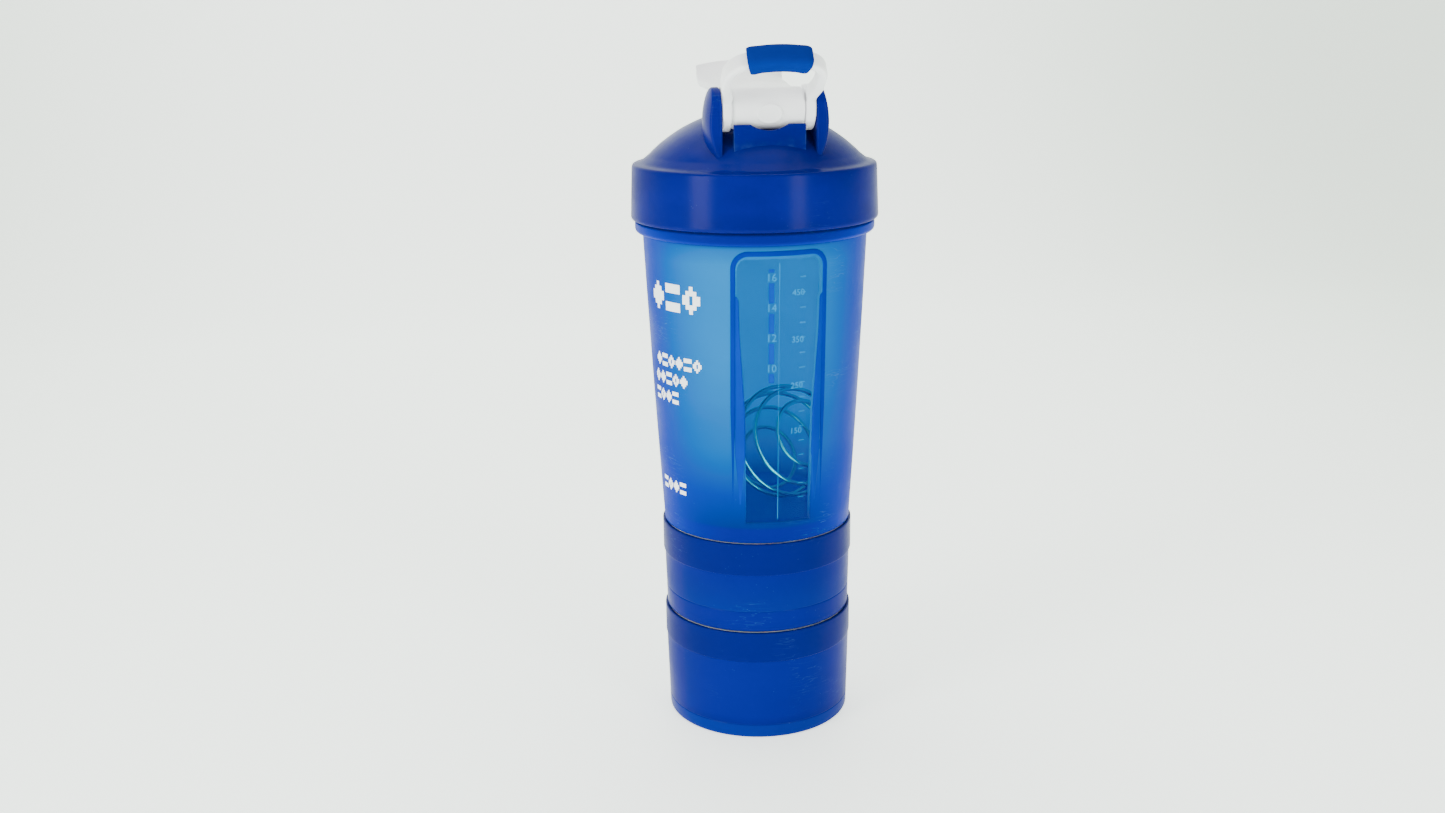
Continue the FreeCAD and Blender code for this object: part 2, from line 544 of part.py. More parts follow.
def make_lid():
    """The lid: skirt, dome, spout, hinge ears with inward stubs, and its thread."""
    shell = lid_shell()
    dome_inside = revolved_edges(dome_solid_edges(LID_WALL))
    hinge = back_wall()
    for side in (-1, 1):
        hinge = hinge.fuse(ear(min(side * EAR_INNER, side * EAR_OUTER),
                               max(side * EAR_INNER, side * EAR_OUTER)))
    spout_centre = VEC(0, SPOUT_FORWARD, DOME_FOOT - LID_WALL)
    spout_top = PIVOT_Z + SPOUT_OVER_PIVOT
    spout = Part.makeCylinder(SPOUT_RADIUS, spout_top - spout_centre.z, spout_centre)
    lip = [edge for edge in spout.Edges if abs(edge.BoundBox.ZMin - spout_top) < SAME]
    spout = spout.makeFillet(SPOUT_LIP_ROUND, lip)
    added = hinge.fuse(spout).cut(dome_inside)
    lid = shell.fuse(added)
    bore_foot = spout_centre - Z_AXIS * BORE_BELOW
    lid = lid.cut(Part.makeCylinder(SPOUT_BORE, BORE_LENGTH, bore_foot))
    pocket_radius = LOOP_EYE_RADIUS + 2 * BODY_GAP
    pocket = across(pocket_radius, EAR_INNER, PIVOT)
    above_pocket = block((-EAR_INNER, PIVOT_Y - EAR_BEHIND + WALL_BEHIND_BARREL, PIVOT_Z),
                         (EAR_INNER, PIVOT_Y + pocket_radius, PIVOT_Z + POCKET_RISE))
    rear_guard = block((-BARREL_HALF, PIVOT_Y - EAR_BEHIND, PIVOT_Z - HINGE_ROOT),
                       (BARREL_HALF, PIVOT_Y - EAR_BEHIND + WALL_BEHIND_BARREL, PIVOT_Z))
    lid = lid.cut(pocket.cut(rear_guard)).cut(above_pocket)
    stub_start = EAR_OUTER - STUB_ROOT
    stub_length = stub_start - BARREL_HALF + STUB_REACH
    for side in (-1, 1):
        start = VEC(side * stub_start, PIVOT_Y, PIVOT_Z)
        stub = Part.makeCylinder(STUB_RADIUS, stub_length, start, X_AXIS * -side)
        lid = lid.fuse(stub)
    ridge_bottom = FLANGE_TOP + LID_THREAD_ROOT + LID_THREAD_LEAD / 2
    ridge_height = LID_THREAD_HEIGHT + LID_SKIRT_GAP - THREAD_GAP
    return lid.fuse(lid_ridge(LID_BORE, -ridge_height, ridge_bottom))


def dome_solid_edges(inset):
    """The closed outline of the space under the dome, down to the lid's lower edge."""
    foot, shoulder, top = dome_arc(inset)
    return [curved(foot, shoulder, top),
            straight(top, (0, LID_BOTTOM)),
            straight((0, LID_BOTTOM), (foot[0], LID_BOTTOM)),
            straight((foot[0], LID_BOTTOM), foot)]


def make_lid_seal():
    """The flat ring between the cup's rim and the lid's ceiling."""
    inner = dome_arc(LID_WALL)[0][0] + SEAL_GAP
    outer = LID_BORE - SEAL_GAP
    bottom = CUP_RIM + SEAL_GAP
    bar = ring(outer, inner, bottom, bottom + LID_SEAL_THICKNESS)
    return bar.makeFillet(SOFT_EDGE, [edge_at(bar, bottom, outer), edge_at(bar, bottom, inner)])


# ================================================================ flip cap
def cap_plate():
    """The cap's plate: crowned from side to side, climbing towards the spout."""
    length = CAP_REACH - TAB_LENGTH / 2 + CAP_BACK_REACH
    centre = VEC(0, PIVOT_Y - CAP_BACK_REACH, PIVOT_Z + BARREL_RADIUS - CAP_CROWN_RADIUS)
    outer = Part.makeCylinder(CAP_CROWN_RADIUS, length, centre, Y_AXIS)
    inner = Part.makeCylinder(CAP_CROWN_RADIUS - CAP_PLATE, length, centre, Y_AXIS)
    arch = outer.cut(inner)
    arch.rotate(PIVOT, X_AXIS, CAP_RISE_ANGLE)
    return arch.common(cap_plan())


def cap_plan():
    """The cap's outline from above as a tall prism, widening from barrel to thumb tab."""
    base = PIVOT_Z - CAP_PLAN_DEPTH
    waist_y = PIVOT_Y + CAP_WAIST
    end_y = PIVOT_Y + CAP_REACH
    corner_y = end_y - TAB_CORNER
    right = [VEC(BARREL_HALF, PIVOT_Y, base), VEC(BARREL_HALF, waist_y, base),
             VEC(CAP_HALF_WIDTH, corner_y, base)]
    left = [VEC(-point.x, point.y, base) for point in right]
    front = Part.Arc(left[2], VEC(0, end_y, base), right[2])
    edges = [Part.makeLine(right[0], left[0]), Part.makeLine(left[0], left[1]),
             Part.makeLine(left[1], left[2]), front.toShape(),
             Part.makeLine(right[2], right[1]), Part.makeLine(right[1], right[0])]
    return Part.Face(Part.Wire(edges)).extrude(VEC(0, 0, CAP_PLAN_HEIGHT))


def thumb_tab():
    """The lip at the cap's far end that a thumb lifts, turned up and outwards."""
    end = PIVOT_Y + CAP_REACH
    start = end - TAB_LENGTH
    crown_edge = CAP_CROWN_RADIUS - math.sqrt(CAP_CROWN_RADIUS ** 2 - CAP_HALF_WIDTH ** 2)
    climb = math.tan(math.radians(CAP_RISE_ANGLE))
    low = PIVOT_Z + BARREL_RADIUS - CAP_PLATE - crown_edge + climb * (CAP_REACH - TAB_LENGTH)
    high = PIVOT_Z + BARREL_RADIUS + climb * CAP_REACH + TAB_LIFT
    top_start = VEC(0, start, high - TAB_LIFT - TAB_SINK)
    top_middle = VEC(0, end - TAB_TOP_BEND, high - TAB_LIFT)
    lip = VEC(0, end, high)
    under_lip = VEC(0, end, high - TAB_LIP)
    under_middle = VEC(0, end - TAB_UNDER_BEND, high - TAB_LIFT - TAB_UNDER_DROP)
    bottom = VEC(0, start, low + TAB_HEEL)
    edges = [Part.makeLine(bottom, top_start),
             Part.Arc(top_start, top_middle, lip).toShape(),
             Part.makeLine(lip, under_lip),
             Part.Arc(under_lip, under_middle, bottom).toShape()]
    slab = side_plate(edges, -CAP_HALF_WIDTH, CAP_HALF_WIDTH)
    return slab.common(cap_plan())


def make_flip_cap():
    """The flip cap: barrel with a plain oval boss, plate, thumb tab and closing ring."""
    barrel = across(BARREL_RADIUS, BARREL_HALF, PIVOT)
    plate = cap_plate()
    ring_top = PIVOT_Z + BARREL_RADIUS + CAP_RING_TOP
    ring_bottom = PIVOT_Z + SPOUT_OVER_PIVOT - CAP_RING_DEPTH + CAP_RING_LIFT
    inner = SPOUT_RADIUS + 2 * BODY_GAP
    ring_centre = VEC(0, SPOUT_FORWARD, ring_bottom)
    skirt = Part.makeCylinder(inner + CAP_RING_WALL, ring_top - ring_bottom, ring_centre)
    skirt = skirt.cut(Part.makeCylinder(inner, ring_top - ring_bottom, ring_centre))
    rod_start = VEC(0, PIVOT_Y - CAP_ROD / 4, PIVOT_Z + BARREL_RADIUS - CAP_CROWN_RADIUS)
    under_crown = Part.makeCylinder(CAP_CROWN_RADIUS - CAP_PLATE / 2, CAP_ROD, rod_start,
                                    Y_AXIS)
    under_crown.rotate(PIVOT, X_AXIS, CAP_RISE_ANGLE)
    skirt = skirt.common(under_crown)
    cap = barrel.fuse(plate).fuse(skirt).fuse(thumb_tab())
    cap = cap.fuse(plug_seat())
    boss = Part.makeCylinder(BOSS_HALF_HEIGHT, BARREL_RADIUS + BOSS_RISE)
    stretch = FreeCAD.Matrix()
    stretch.A11 = BOSS_HALF_WIDTH / BOSS_HALF_HEIGHT
    boss = boss.transformGeometry(stretch)
    boss.rotate(ORIGIN, X_AXIS, 90 + BOSS_ANGLE)
    boss.translate(PIVOT)
    face_limit = across(BARREL_RADIUS + BOSS_RISE, BARREL_HALF, PIVOT)
    cap = cap.fuse(boss.common(face_limit))
    eye = STUB_RADIUS + RUNNING_GAP
    for side in (-1, 1):
        mouth = PIVOT + X_AXIS * (side * (BARREL_HALF + OVERCUT))
        cap = cap.cut(Part.makeCylinder(eye, EYE_DEPTH, mouth, X_AXIS * -side))
    return cap


def plug_seat():
    """The short peg under the plate that carries the plug."""
    bottom = PIVOT_Z + SPOUT_OVER_PIVOT + PLUG_PEG_RISE
    top = PIVOT_Z + BARREL_RADIUS + PLUG_PEG_TOP
    radius = SPOUT_BORE - PLUG_PEG_INSET
    return Part.makeCylinder(radius, top - bottom, VEC(0, SPOUT_FORWARD, bottom))


def make_spout_plug():
    """The soft tapered plug that closes the spout's bore."""
    top = PIVOT_Z + SPOUT_OVER_PIVOT + PLUG_PEG_RISE
    wide = SPOUT_BORE - PLUG_GAP
    plug = Part.makeCone(wide - PLUG_TAPER, wide, PLUG_DEPTH,
                         VEC(0, SPOUT_FORWARD, top - PLUG_DEPTH))
    hollow = Part.makeCylinder(wide - PLUG_PEG_INSET, PLUG_DEPTH - PLUG_TOP,
                               VEC(0, SPOUT_FORWARD, top - PLUG_DEPTH))
    return plug.cut(hollow)


# ================================================================ carry loop
def loop_path():
    """Distance of a leg's centre line from the middle: at its eye, and above the ears."""
    leg_x = BARREL_HALF + LEG_GAP + LOOP_LEG / 2
    return leg_x, leg_x + LOOP_SPLAY


def bar_arc():
    """The arched bar: its circle's height over the pivot and its half sweep in degrees."""
    _, wide_x = loop_path()
    side = wide_x - LOOP_CORNER
    half_sweep = math.degrees(math.asin(side / (LOOP_BAR_RADIUS - LOOP_CORNER)))
    return LOOP_REACH - LOOP_BAR_RADIUS, half_sweep


def arc_points(centre, radius, start_angle, end_angle):
    """Start, middle and end of an arc in the loop's plane, angles in degrees from +X."""
    middle_angle = (start_angle + end_angle) / 2

    def at(angle):
        turn = math.radians(angle)
        return VEC(centre[0] + radius * math.cos(turn), PIVOT_Y,
                   PIVOT_Z + centre[1] + radius * math.sin(turn))

    return at(start_angle), at(middle_angle), at(end_angle)


def loop_spine():
    """The loop's centre line: two legs that splay, two round corners and the bar."""
    leg_x, wide_x = loop_path()
    bar_height, sweep = bar_arc()
    corner_x = wide_x - LOOP_CORNER
    drop = math.cos(math.radians(sweep)) * (LOOP_BAR_RADIUS - LOOP_CORNER)
    corner = (corner_x, bar_height + drop)
    other = (-corner_x, bar_height + drop)
    edges = []
    corner_right = arc_points(corner, LOOP_CORNER, 0, 90 - sweep)
    corner_left = arc_points(other, LOOP_CORNER, 90 + sweep, 180)
    bar = arc_points((0, bar_height), LOOP_BAR_RADIUS, 90 - sweep, 90 + sweep)
    bend = LOOP_SPLAY / 2
    rise = (LOOP_SPLAY_END - LOOP_KNEE) / 2
    bend_radius = (bend ** 2 + rise ** 2) / (2 * bend)
    half = math.degrees(math.asin(rise / bend_radius)) / 2
    lower = arc_points((leg_x + bend_radius, LOOP_KNEE), bend_radius, 180, 180 - 2 * half)
    upper = arc_points((wide_x - bend_radius, LOOP_SPLAY_END), bend_radius, -2 * half, 0)
    foot = VEC(leg_x, PIVOT_Y, PIVOT_Z)
    edges.append(Part.makeLine(foot, lower[0]))
    edges.append(Part.Arc(*lower).toShape())
    edges.append(Part.Arc(*upper).toShape())
    edges.append(Part.makeLine(upper[2], corner_right[0]))
    edges.append(Part.Arc(*corner_right).toShape())
    edges.append(Part.Arc(*bar).toShape())
    edges.append(Part.Arc(*corner_left).toShape())
    mirrored = []
    for edge in (edges[3], edges[2], edges[1], edges[0]):
        mirrored.append(edge.mirror(PIVOT, X_AXIS))
    return Part.Wire(Part.__sortEdges__(edges + mirrored))


def rounded_section(width, depth, corner, centre):
    """A rounded rectangle in a level plane: width along X, depth along Y."""
    half_w = width / 2
    half_d = depth / 2
    plane = Part.makePlane(width, depth, VEC(centre.x - half_w, centre.y - half_d, centre.z))
    wire = plane.OuterWire
    prism = Part.Face(wire).extrude(Z_AXIS)
    upright = [edge for edge in prism.Edges
               if abs(edge.BoundBox.ZMax - edge.BoundBox.ZMin - 1) < SAME]
    prism = prism.makeFillet(corner, upright)
    for face in prism.Faces:
        box = face.BoundBox
        if abs(box.ZMin - centre.z) < SAME and abs(box.ZMax - centre.z) < SAME:
            return face.OuterWire
    raise ValueError("no lower face")


def make_carry_loop():
    """The rigid loop: two eyes on the stubs, two legs and a bar, leaning back."""
    leg_x, _ = loop_path()
    spine = loop_spine()
    foot = VEC(leg_x, PIVOT_Y, PIVOT_Z)
    section = rounded_section(LOOP_LEG, LOOP_DEPTH, LOOP_SECTION_ROUND, foot)
    loop = spine.makePipeShell([section], True, False)
    for side in (-1, 1):
        centre = VEC(side * leg_x, PIVOT_Y, PIVOT_Z)
        eye = across(LOOP_EYE_RADIUS, LOOP_LEG / 2, centre)
        eye = eye.makeFillet(EYE_ROUND, [edge for edge in eye.Edges
                                         if isinstance(edge.Curve, Part.Circle)])
        loop = loop.fuse(eye)
    for side in (-1, 1):
        centre = VEC(side * leg_x, PIVOT_Y, PIVOT_Z)
        loop = loop.cut(across(STUB_RADIUS + RUNNING_GAP, LOOP_LEG, centre))
    loop.rotate(PIVOT, X_AXIS, LOOP_LEAN)
    return loop


def make_loop_grip():
    """The soft sleeve moulded round the loop's arched bar."""
    bar_height, sweep = bar_arc()
    centre = VEC(0, PIVOT_Y, PIVOT_Z + bar_height)
    section = rounded_section(GRIP_TALL, GRIP_DEEP, GRIP_ROUND, ORIGIN)
    face = Part.Face(section)
    face.translate(centre + X_AXIS * LOOP_BAR_RADIUS)
    face.rotate(centre, Y_AXIS, -(90 - sweep))
    sleeve = face.revolve(centre, Y_AXIS, -2 * sweep)
    sleeve.rotate(PIVOT, X_AXIS, LOOP_LEAN)
    return sleeve.cut(make_carry_loop())


# ================================================================ whisk ball
def whisk_centre():
    """Centre of the whisk ball, resting on the cup's floor near its wall."""
    height = WHISK_REST_GAP + WHISK_RADIUS
    middle = CUP_BOTTOM + CUP_BODY_HEIGHT * CUP_MIDDLE_SHARE - CUP_INSIDE
    wall = CUP_BASE_RADIUS + (CUP_MID_RADIUS - CUP_BASE_RADIUS) * height / middle - CUP_WALL
    return VEC(wall - WHISK_WALL_GAP - WHISK_RADIUS, 0, CUP_INSIDE + height)


def make_whisk_ball():
    """A wire wound as a spiral over a sphere, from one small end circle to the other."""
    radius = WHISK_RADIUS - WHISK_WIRE
    count = int(WHISK_TURNS * WHISK_POINTS_PER_TURN)
    points = []
    for index in range(count + 1):
        share = index / count
        polar = math.radians(WHISK_POLE + (180 - 2 * WHISK_POLE) * share)
        turn = 2 * math.pi * WHISK_TURNS * share
        points.append(VEC(radius * math.sin(polar) * math.cos(turn),
                          radius * math.sin(polar) * math.sin(turn),
                          radius * math.cos(polar)))
    curve = Part.BSplineCurve()
    curve.interpolate(points)
    spine = Part.Wire(curve.toShape())
    start = curve.value(curve.FirstParameter)
    tangent = curve.tangent(curve.FirstParameter)[0]
    section = Part.Wire(Part.makeCircle(WHISK_WIRE, start, tangent))
    wire = spine.makePipeShell([section], True, True)
    wire.rotate(ORIGIN, X_AXIS, 90 - WHISK_TILT)
    wire.rotate(ORIGIN, Z_AXIS, WHISK_SWING)
    wire.translate(whisk_centre())
    return wire


# ================================================================ write
PIECES = {
    "lower_jar": make_lower_jar,
    "lower_jar_seal": lambda: make_jar_seal(LOWER_COLLAR_RADIUS, UPPER_BOTTOM),
    "upper_jar": make_upper_jar,
    "upper_jar_seal": lambda: make_jar_seal(UPPER_COLLAR_RADIUS, CUP_BOTTOM),
    "pill_tray": make_pill_tray,
    "cup": make_cup,
    "whisk_ball": make_whisk_ball,
    "lid": make_lid,
    "lid_seal": make_lid_seal,
    "flip_cap": make_flip_cap,
    "spout_plug": make_spout_plug,
    "carry_loop": make_carry_loop,
    "loop_grip": make_loop_grip,
}

os.makedirs("parts", exist_ok=True)
for name, make in PIECES.items():
    shape = make()
    solids = len(shape.Solids)
    shape.exportStep("parts/" + name + ".step")
    print(name, "solids", solids, "valid", shape.isValid(), "volume", round(shape.Volume, 1))
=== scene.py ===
"""Looks of a stacked protein shaker bottle: cup, jars, lid, flip cap, carry loop and whisk."""
import logging
import math
from collections.abc import Callable, Sequence
from dataclasses import dataclass, field
from enum import Enum

import bpy
import numpy as np
from mathutils import Matrix, Vector


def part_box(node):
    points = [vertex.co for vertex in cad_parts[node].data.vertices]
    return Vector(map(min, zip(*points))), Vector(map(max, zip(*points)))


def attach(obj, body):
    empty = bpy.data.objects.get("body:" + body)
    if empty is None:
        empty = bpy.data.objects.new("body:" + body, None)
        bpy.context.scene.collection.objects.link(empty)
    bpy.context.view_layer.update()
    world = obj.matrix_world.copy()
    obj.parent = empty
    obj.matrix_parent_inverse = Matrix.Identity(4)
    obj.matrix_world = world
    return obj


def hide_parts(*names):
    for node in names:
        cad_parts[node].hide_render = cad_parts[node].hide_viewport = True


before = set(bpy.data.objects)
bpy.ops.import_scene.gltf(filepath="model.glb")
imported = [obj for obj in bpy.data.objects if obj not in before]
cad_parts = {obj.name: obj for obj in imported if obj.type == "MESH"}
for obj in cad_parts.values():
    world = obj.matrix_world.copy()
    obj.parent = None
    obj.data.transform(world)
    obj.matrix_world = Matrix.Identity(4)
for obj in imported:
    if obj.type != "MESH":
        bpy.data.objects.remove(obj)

LOG = logging.getLogger("shaker")
MM = 0.001
FULL_TURN = 2 * math.pi
SHARP_ANGLE = math.radians(38)
ON_AXIS = 1e-6
NECK_LENGTH = 10.5
JOINT_GAP = 0.4
JAR_RIDGE = 1.2
THREAD_START = 1.3
STUB_GAP = 0.05
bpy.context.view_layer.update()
Colour = tuple[float, float, float]


# ====================================================================== mesh tools
def level(node: str) -> tuple[float, float]:
    """Lowest and highest level of a CAD node, in millimetres."""
    low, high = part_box(node)
    return low.z / MM, high.z / MM


def grid_mesh(name: str, points: np.ndarray, wrap_u: bool, wrap_v: bool,
              start_pole: bool = False, end_pole: bool = False, closed: bool = True,
              drop: Callable[[np.ndarray], np.ndarray] | None = None,
              slots: Callable[[np.ndarray], np.ndarray] | None = None) -> bpy.types.Object:
    """Makes a smooth mesh object from a grid of points.

    Point (i, j) is joined to its neighbours i + 1 and j + 1, so each cell is one quad
    (i, j), (i, j + 1), (i + 1, j + 1), (i + 1, j).  The faces of a closed surface are
    turned outwards: its volume, a sixth of the sum of a . (b x c) over its triangles, is
    made positive.

    Args:
        name: The new object's name.
        points: Array of shape (rows, columns, 3), in millimetres.
        wrap_u: Joins the last row back to the first.
        wrap_v: Joins the last column back to the first.
        start_pole: Draws the first row together to one point.
        end_pole: Draws the last row together to one point.
        closed: The surface closes on itself, so it has an outside.
        drop: Says from the cells' centres which of them to leave out.
        slots: Gives each cell's material slot from the cells' centres.

    Returns:
        The linked object, in metres.
    """
    rows, columns = points.shape[:2]
    index = np.arange(rows * columns).reshape(rows, columns)
    if start_pole:
        index[0, :] = index[0, 0]
    if end_pole:
        index[-1, :] = index[-1, 0]
    down = np.roll(index, -1, 0) if wrap_u else index[1:]
    here = index if wrap_u else index[:-1]
    if wrap_v:
        quads = np.stack([here, np.roll(here, -1, 1), np.roll(down, -1, 1), down], -1)
    else:
        quads = np.stack([here[:, :-1], here[:, 1:], down[:, 1:], down[:, :-1]], -1)
    quads = quads.reshape(-1, 4)
    flat = points.reshape(-1, 3) * MM
    corners = flat[quads]
    if closed:
        a, b, c, d = (corners[:, k] for k in range(4))
        volume = (np.cross(a, b) * c).sum() + (np.cross(a, c) * d).sum()
        if volume < 0:
            quads = quads[:, ::-1]
    centres = corners.mean(1) / MM
    if drop is not None:
        keep = ~drop(centres)
        quads, centres = quads[keep], centres[keep]
    used, compact = np.unique(quads, return_inverse=True)
    quads = compact.reshape(-1, 4)
    same = quads == np.roll(quads, -1, 1)
    three = same.any(1)
    faces = quads[~three].tolist()
    order = [np.flatnonzero(~three)]
    for corner in range(4):
        stay = [k for k in range(4) if k != corner]
        pick = three & same[:, corner]
        faces += quads[pick][:, stay].tolist()
        order.append(np.flatnonzero(pick))
    mesh = bpy.data.meshes.new(name)
    mesh.from_pydata(flat[used], [], faces)
    mesh.polygons.foreach_set("use_smooth", np.ones(len(mesh.polygons), bool))
    if slots is not None:
        chosen = slots(centres[np.concatenate(order)]).astype(np.int32)
        mesh.polygons.foreach_set("material_index", chosen)
    return link(name, mesh)


def link(name: str, mesh: bpy.types.Mesh) -> bpy.types.Object:
    """Links a mesh as an object, marking its sharp edges and how far each point sticks out.

    The attribute "edge" is the mean over a point's edges of (point - neighbour) . normal,
    divided by the edge's length: above nought on outer corners, below it in hollows.

    Args:
        name: The object's name.
        mesh: The finished mesh.

    Returns:
        The linked object.
    """
    mesh.update()
    mesh.set_sharp_from_angle(angle=SHARP_ANGLE)
    count = len(mesh.vertices)
    place = np.zeros(count * 3, np.float32)
    normal = np.zeros(count * 3, np.float32)
    ends = np.zeros(len(mesh.edges) * 2, np.int32)
    mesh.vertices.foreach_get("co", place)
    mesh.vertices.foreach_get("normal", normal)
    mesh.edges.foreach_get("vertices", ends)
    place, normal, ends = place.reshape(-1, 3), normal.reshape(-1, 3), ends.reshape(-1, 2)
    away = place[ends[:, 0]] - place[ends[:, 1]]
    away /= np.linalg.norm(away, axis=1, keepdims=True) + 1e-12
    out = np.zeros(count)
    for side, sign in ((0, 1.0), (1, -1.0)):
        who = ends[:, side]
        out += np.bincount(who, sign * (away * normal[who]).sum(1), count)
    out /= np.maximum(np.bincount(ends.ravel(), minlength=count), 1)
    mesh.attributes.new("edge", "FLOAT", "POINT").data.foreach_set("value", out)
    made = bpy.data.objects.new(name, mesh)
    bpy.context.scene.collection.objects.link(made)
    return made


def rounded_outline(corners: Sequence[tuple[float, float]], radii: Sequence[float],
                    steps: int = 6, closed: bool = False) -> np.ndarray:
    """Rounds the corners of a flat line of points.

    Each corner is replaced by an arc that touches both its sides: the arc starts where the
    tangent length, radius divided by tan(half the corner's angle), is taken off the side.

    Args:
        corners: The corner points.
        radii: One radius a corner; zero leaves it sharp.
        steps: Segments in each arc.
        closed: Treats the line as a loop.

    Returns:
        Array (n, 2) of the rounded line.
    """
    pts = np.asarray(corners, float)
    out: list[np.ndarray] = []
    count = len(pts)
    for k, radius in enumerate(radii):
        if radius <= 0 or (not closed and k in (0, count - 1)):
            out.append(pts[k][None])
            continue
        before = pts[k - 1] - pts[k]
        after = pts[(k + 1) % count] - pts[k]
        a = before / np.linalg.norm(before)
        b = after / np.linalg.norm(after)
        half = math.acos(float(np.clip(a @ b, -1, 1))) / 2
        reach = radius / math.tan(half)
        middle = pts[k] + (a + b) / np.linalg.norm(a + b) * radius / math.sin(half)
        start = pts[k] + a * reach - middle
        end = pts[k] + b * reach - middle
        first = math.atan2(start[1], start[0])
        sweep_angle = (math.atan2(end[1], end[0]) - first + math.pi) % FULL_TURN - math.pi
        angle = first + np.linspace(0, 1, steps + 1) * sweep_angle
        out.append(middle + radius * np.stack([np.cos(angle), np.sin(angle)], -1))
    return np.concatenate(out)


def rounded_box(width: float, height: float, corner: float, steps: int = 5) -> np.ndarray:
    """Closed outline of a rounded rectangle about the origin."""
    w, h = width / 2, height / 2
    return rounded_outline([(-w, -h), (w, -h), (w, h), (-w, h)], [corner] * 4, steps, True)


def finely(line: np.ndarray, longest: float) -> np.ndarray:
    """Divides each stretch of a line so that none is longer than a given length."""
    out = []
    for start, end in zip(line[:-1], line[1:]):
        parts = max(1, math.ceil(float(np.linalg.norm(end - start)) / longest))
        share = np.arange(parts)[:, None] / parts
        out.append(start + (end - start) * share)
    out.append(line[-1:])
    return np.concatenate(out)


def circle_through(start: Sequence[float], middle: Sequence[float],
                   end: Sequence[float]) -> tuple[np.ndarray, float]:
    """Centre and radius of the circle through three flat points.

    The centre c solves 2 (p - start) . c = |p|^2 - |start|^2 for p the middle and the end.
    """
    s, m, e = (np.asarray(p, float) for p in (start, middle, end))
    centre = np.linalg.solve(2 * np.stack([m - s, e - s]), [m @ m - s @ s, e @ e - s @ s])
    return centre, float(np.linalg.norm(s - centre))


def arc_line(start: Sequence[float], middle: Sequence[float], end: Sequence[float],
             steps: int) -> np.ndarray:
    """Points along the circle through three flat points, at even angles about its centre.

    Args:
        start: First point.
        middle: A point on the way.
        end: Last point.
        steps: Segments.

    Returns:
        Array (steps + 1, 2).
    """
    centre, radius = circle_through(start, middle, end)
    first = math.atan2(*(np.asarray(start) - centre)[::-1])
    last = math.atan2(*(np.asarray(end) - centre)[::-1])
    sweep_angle = (last - first + math.pi) % FULL_TURN - math.pi
    angle = first + np.linspace(0, 1, steps + 1) * sweep_angle
    return centre + radius * np.stack([np.cos(angle), np.sin(angle)], -1)


def turned(profile: np.ndarray, turn: np.ndarray,
           centre: tuple[float, float] = (0.0, 0.0)) -> np.ndarray:
    """Grid (r sin t, -r cos t, z) of a profile of (r, z) over the turns t, about a centre."""
    radius, height = profile[:, 0][:, None], profile[:, 1][:, None]
    return np.stack([centre[0] + radius * np.sin(turn), centre[1] - radius * np.cos(turn),
                     height + 0 * turn], -1)


def lathe(name: str, profile: np.ndarray, sides: int = 192,
          centre: tuple[float, float] = (0.0, 0.0)) -> bpy.types.Object:
    """Turns a profile about an upright axis.

    Args:
        name: The new object's name.
        profile: Points (n, 2) of radius and height.  One that starts and ends on the axis
            is closed there with poles; any other is a closed loop.
        sides: Steps round the axis.
        centre: Where the axis stands, x and y.

    Returns:
        The linked object.
    """
    turn = np.arange(sides) * FULL_TURN / sides
    poles = profile[0, 0] < ON_AXIS and profile[-1, 0] < ON_AXIS
    return grid_mesh(name, turned(profile, turn, centre), not poles, True, poles, poles)


def capped(points: np.ndarray) -> np.ndarray:
    """Adds a row at each end of a grid, drawn together to the end row's middle."""
    points = np.concatenate([points[:1], points, points[-1:]])
    points[0] = points[0].mean(0)
    points[-1] = points[-1].mean(0)
    return points


def sweep(name: str, path: np.ndarray, normal: np.ndarray, section: np.ndarray,
          size: np.ndarray | None = None) -> bpy.types.Object:
    """Carries a closed section along a path and closes both ends.

    At each point of the path the section's first axis is tangent x normal and its second is
    the normal, made square to the tangent.

    Args:
        name: The new object's name.
        path: Points (n, 3).
        normal: Directions (n, 3) that the section's second axis follows.
        section: Closed outline (m, 2).
        size: Optional (n,) or (n, 2) factors on the section along the path.

    Returns:
        The linked object.
    """
    tangent = np.gradient(path, axis=0)
    tangent /= np.linalg.norm(tangent, axis=1, keepdims=True)
    side = np.cross(tangent, normal)
    side /= np.linalg.norm(side, axis=1, keepdims=True)
    upward = np.cross(side, tangent)
    factor = np.ones((len(path), 2)) if size is None else np.asarray(size, float)
    if factor.ndim == 1:
        factor = np.repeat(factor[:, None], 2, 1)
    across = section[None, :, 0] * factor[:, :1]
    along = section[None, :, 1] * factor[:, 1:]
    points = (path[:, None] + across[..., None] * side[:, None]
              + along[..., None] * upward[:, None])
    return grid_mesh(name, capped(points), False, True, True, True)


def along_x(name: str, profile: np.ndarray, pivot: Sequence[float],
            sides: int = 96) -> bpy.types.Object:
    """Turns a profile of (radius, x) about a level axis along X through a pivot."""
    turn = np.arange(sides) * FULL_TURN / sides
    radius, x = profile[:, 0][:, None], profile[:, 1][:, None]
    points = np.stack([pivot[0] + x + 0 * turn, pivot[1] + radius * np.cos(turn),
                       pivot[2] + radius * np.sin(turn)], -1)
    poles = profile[0, 0] < ON_AXIS and profile[-1, 0] < ON_AXIS
    return grid_mesh(name, points, not poles, True, poles, poles)


def joined(name: str, parts: Sequence[bpy.types.Object]) -> bpy.types.Object:
    """Makes one object of several pieces that are moulded in one."""
    with bpy.context.temp_override(active_object=parts[0], object=parts[0],
                                   selected_objects=list(parts),
                                   selected_editable_objects=list(parts)):
        bpy.ops.object.join()
    parts[0].name = name
    return parts[0]


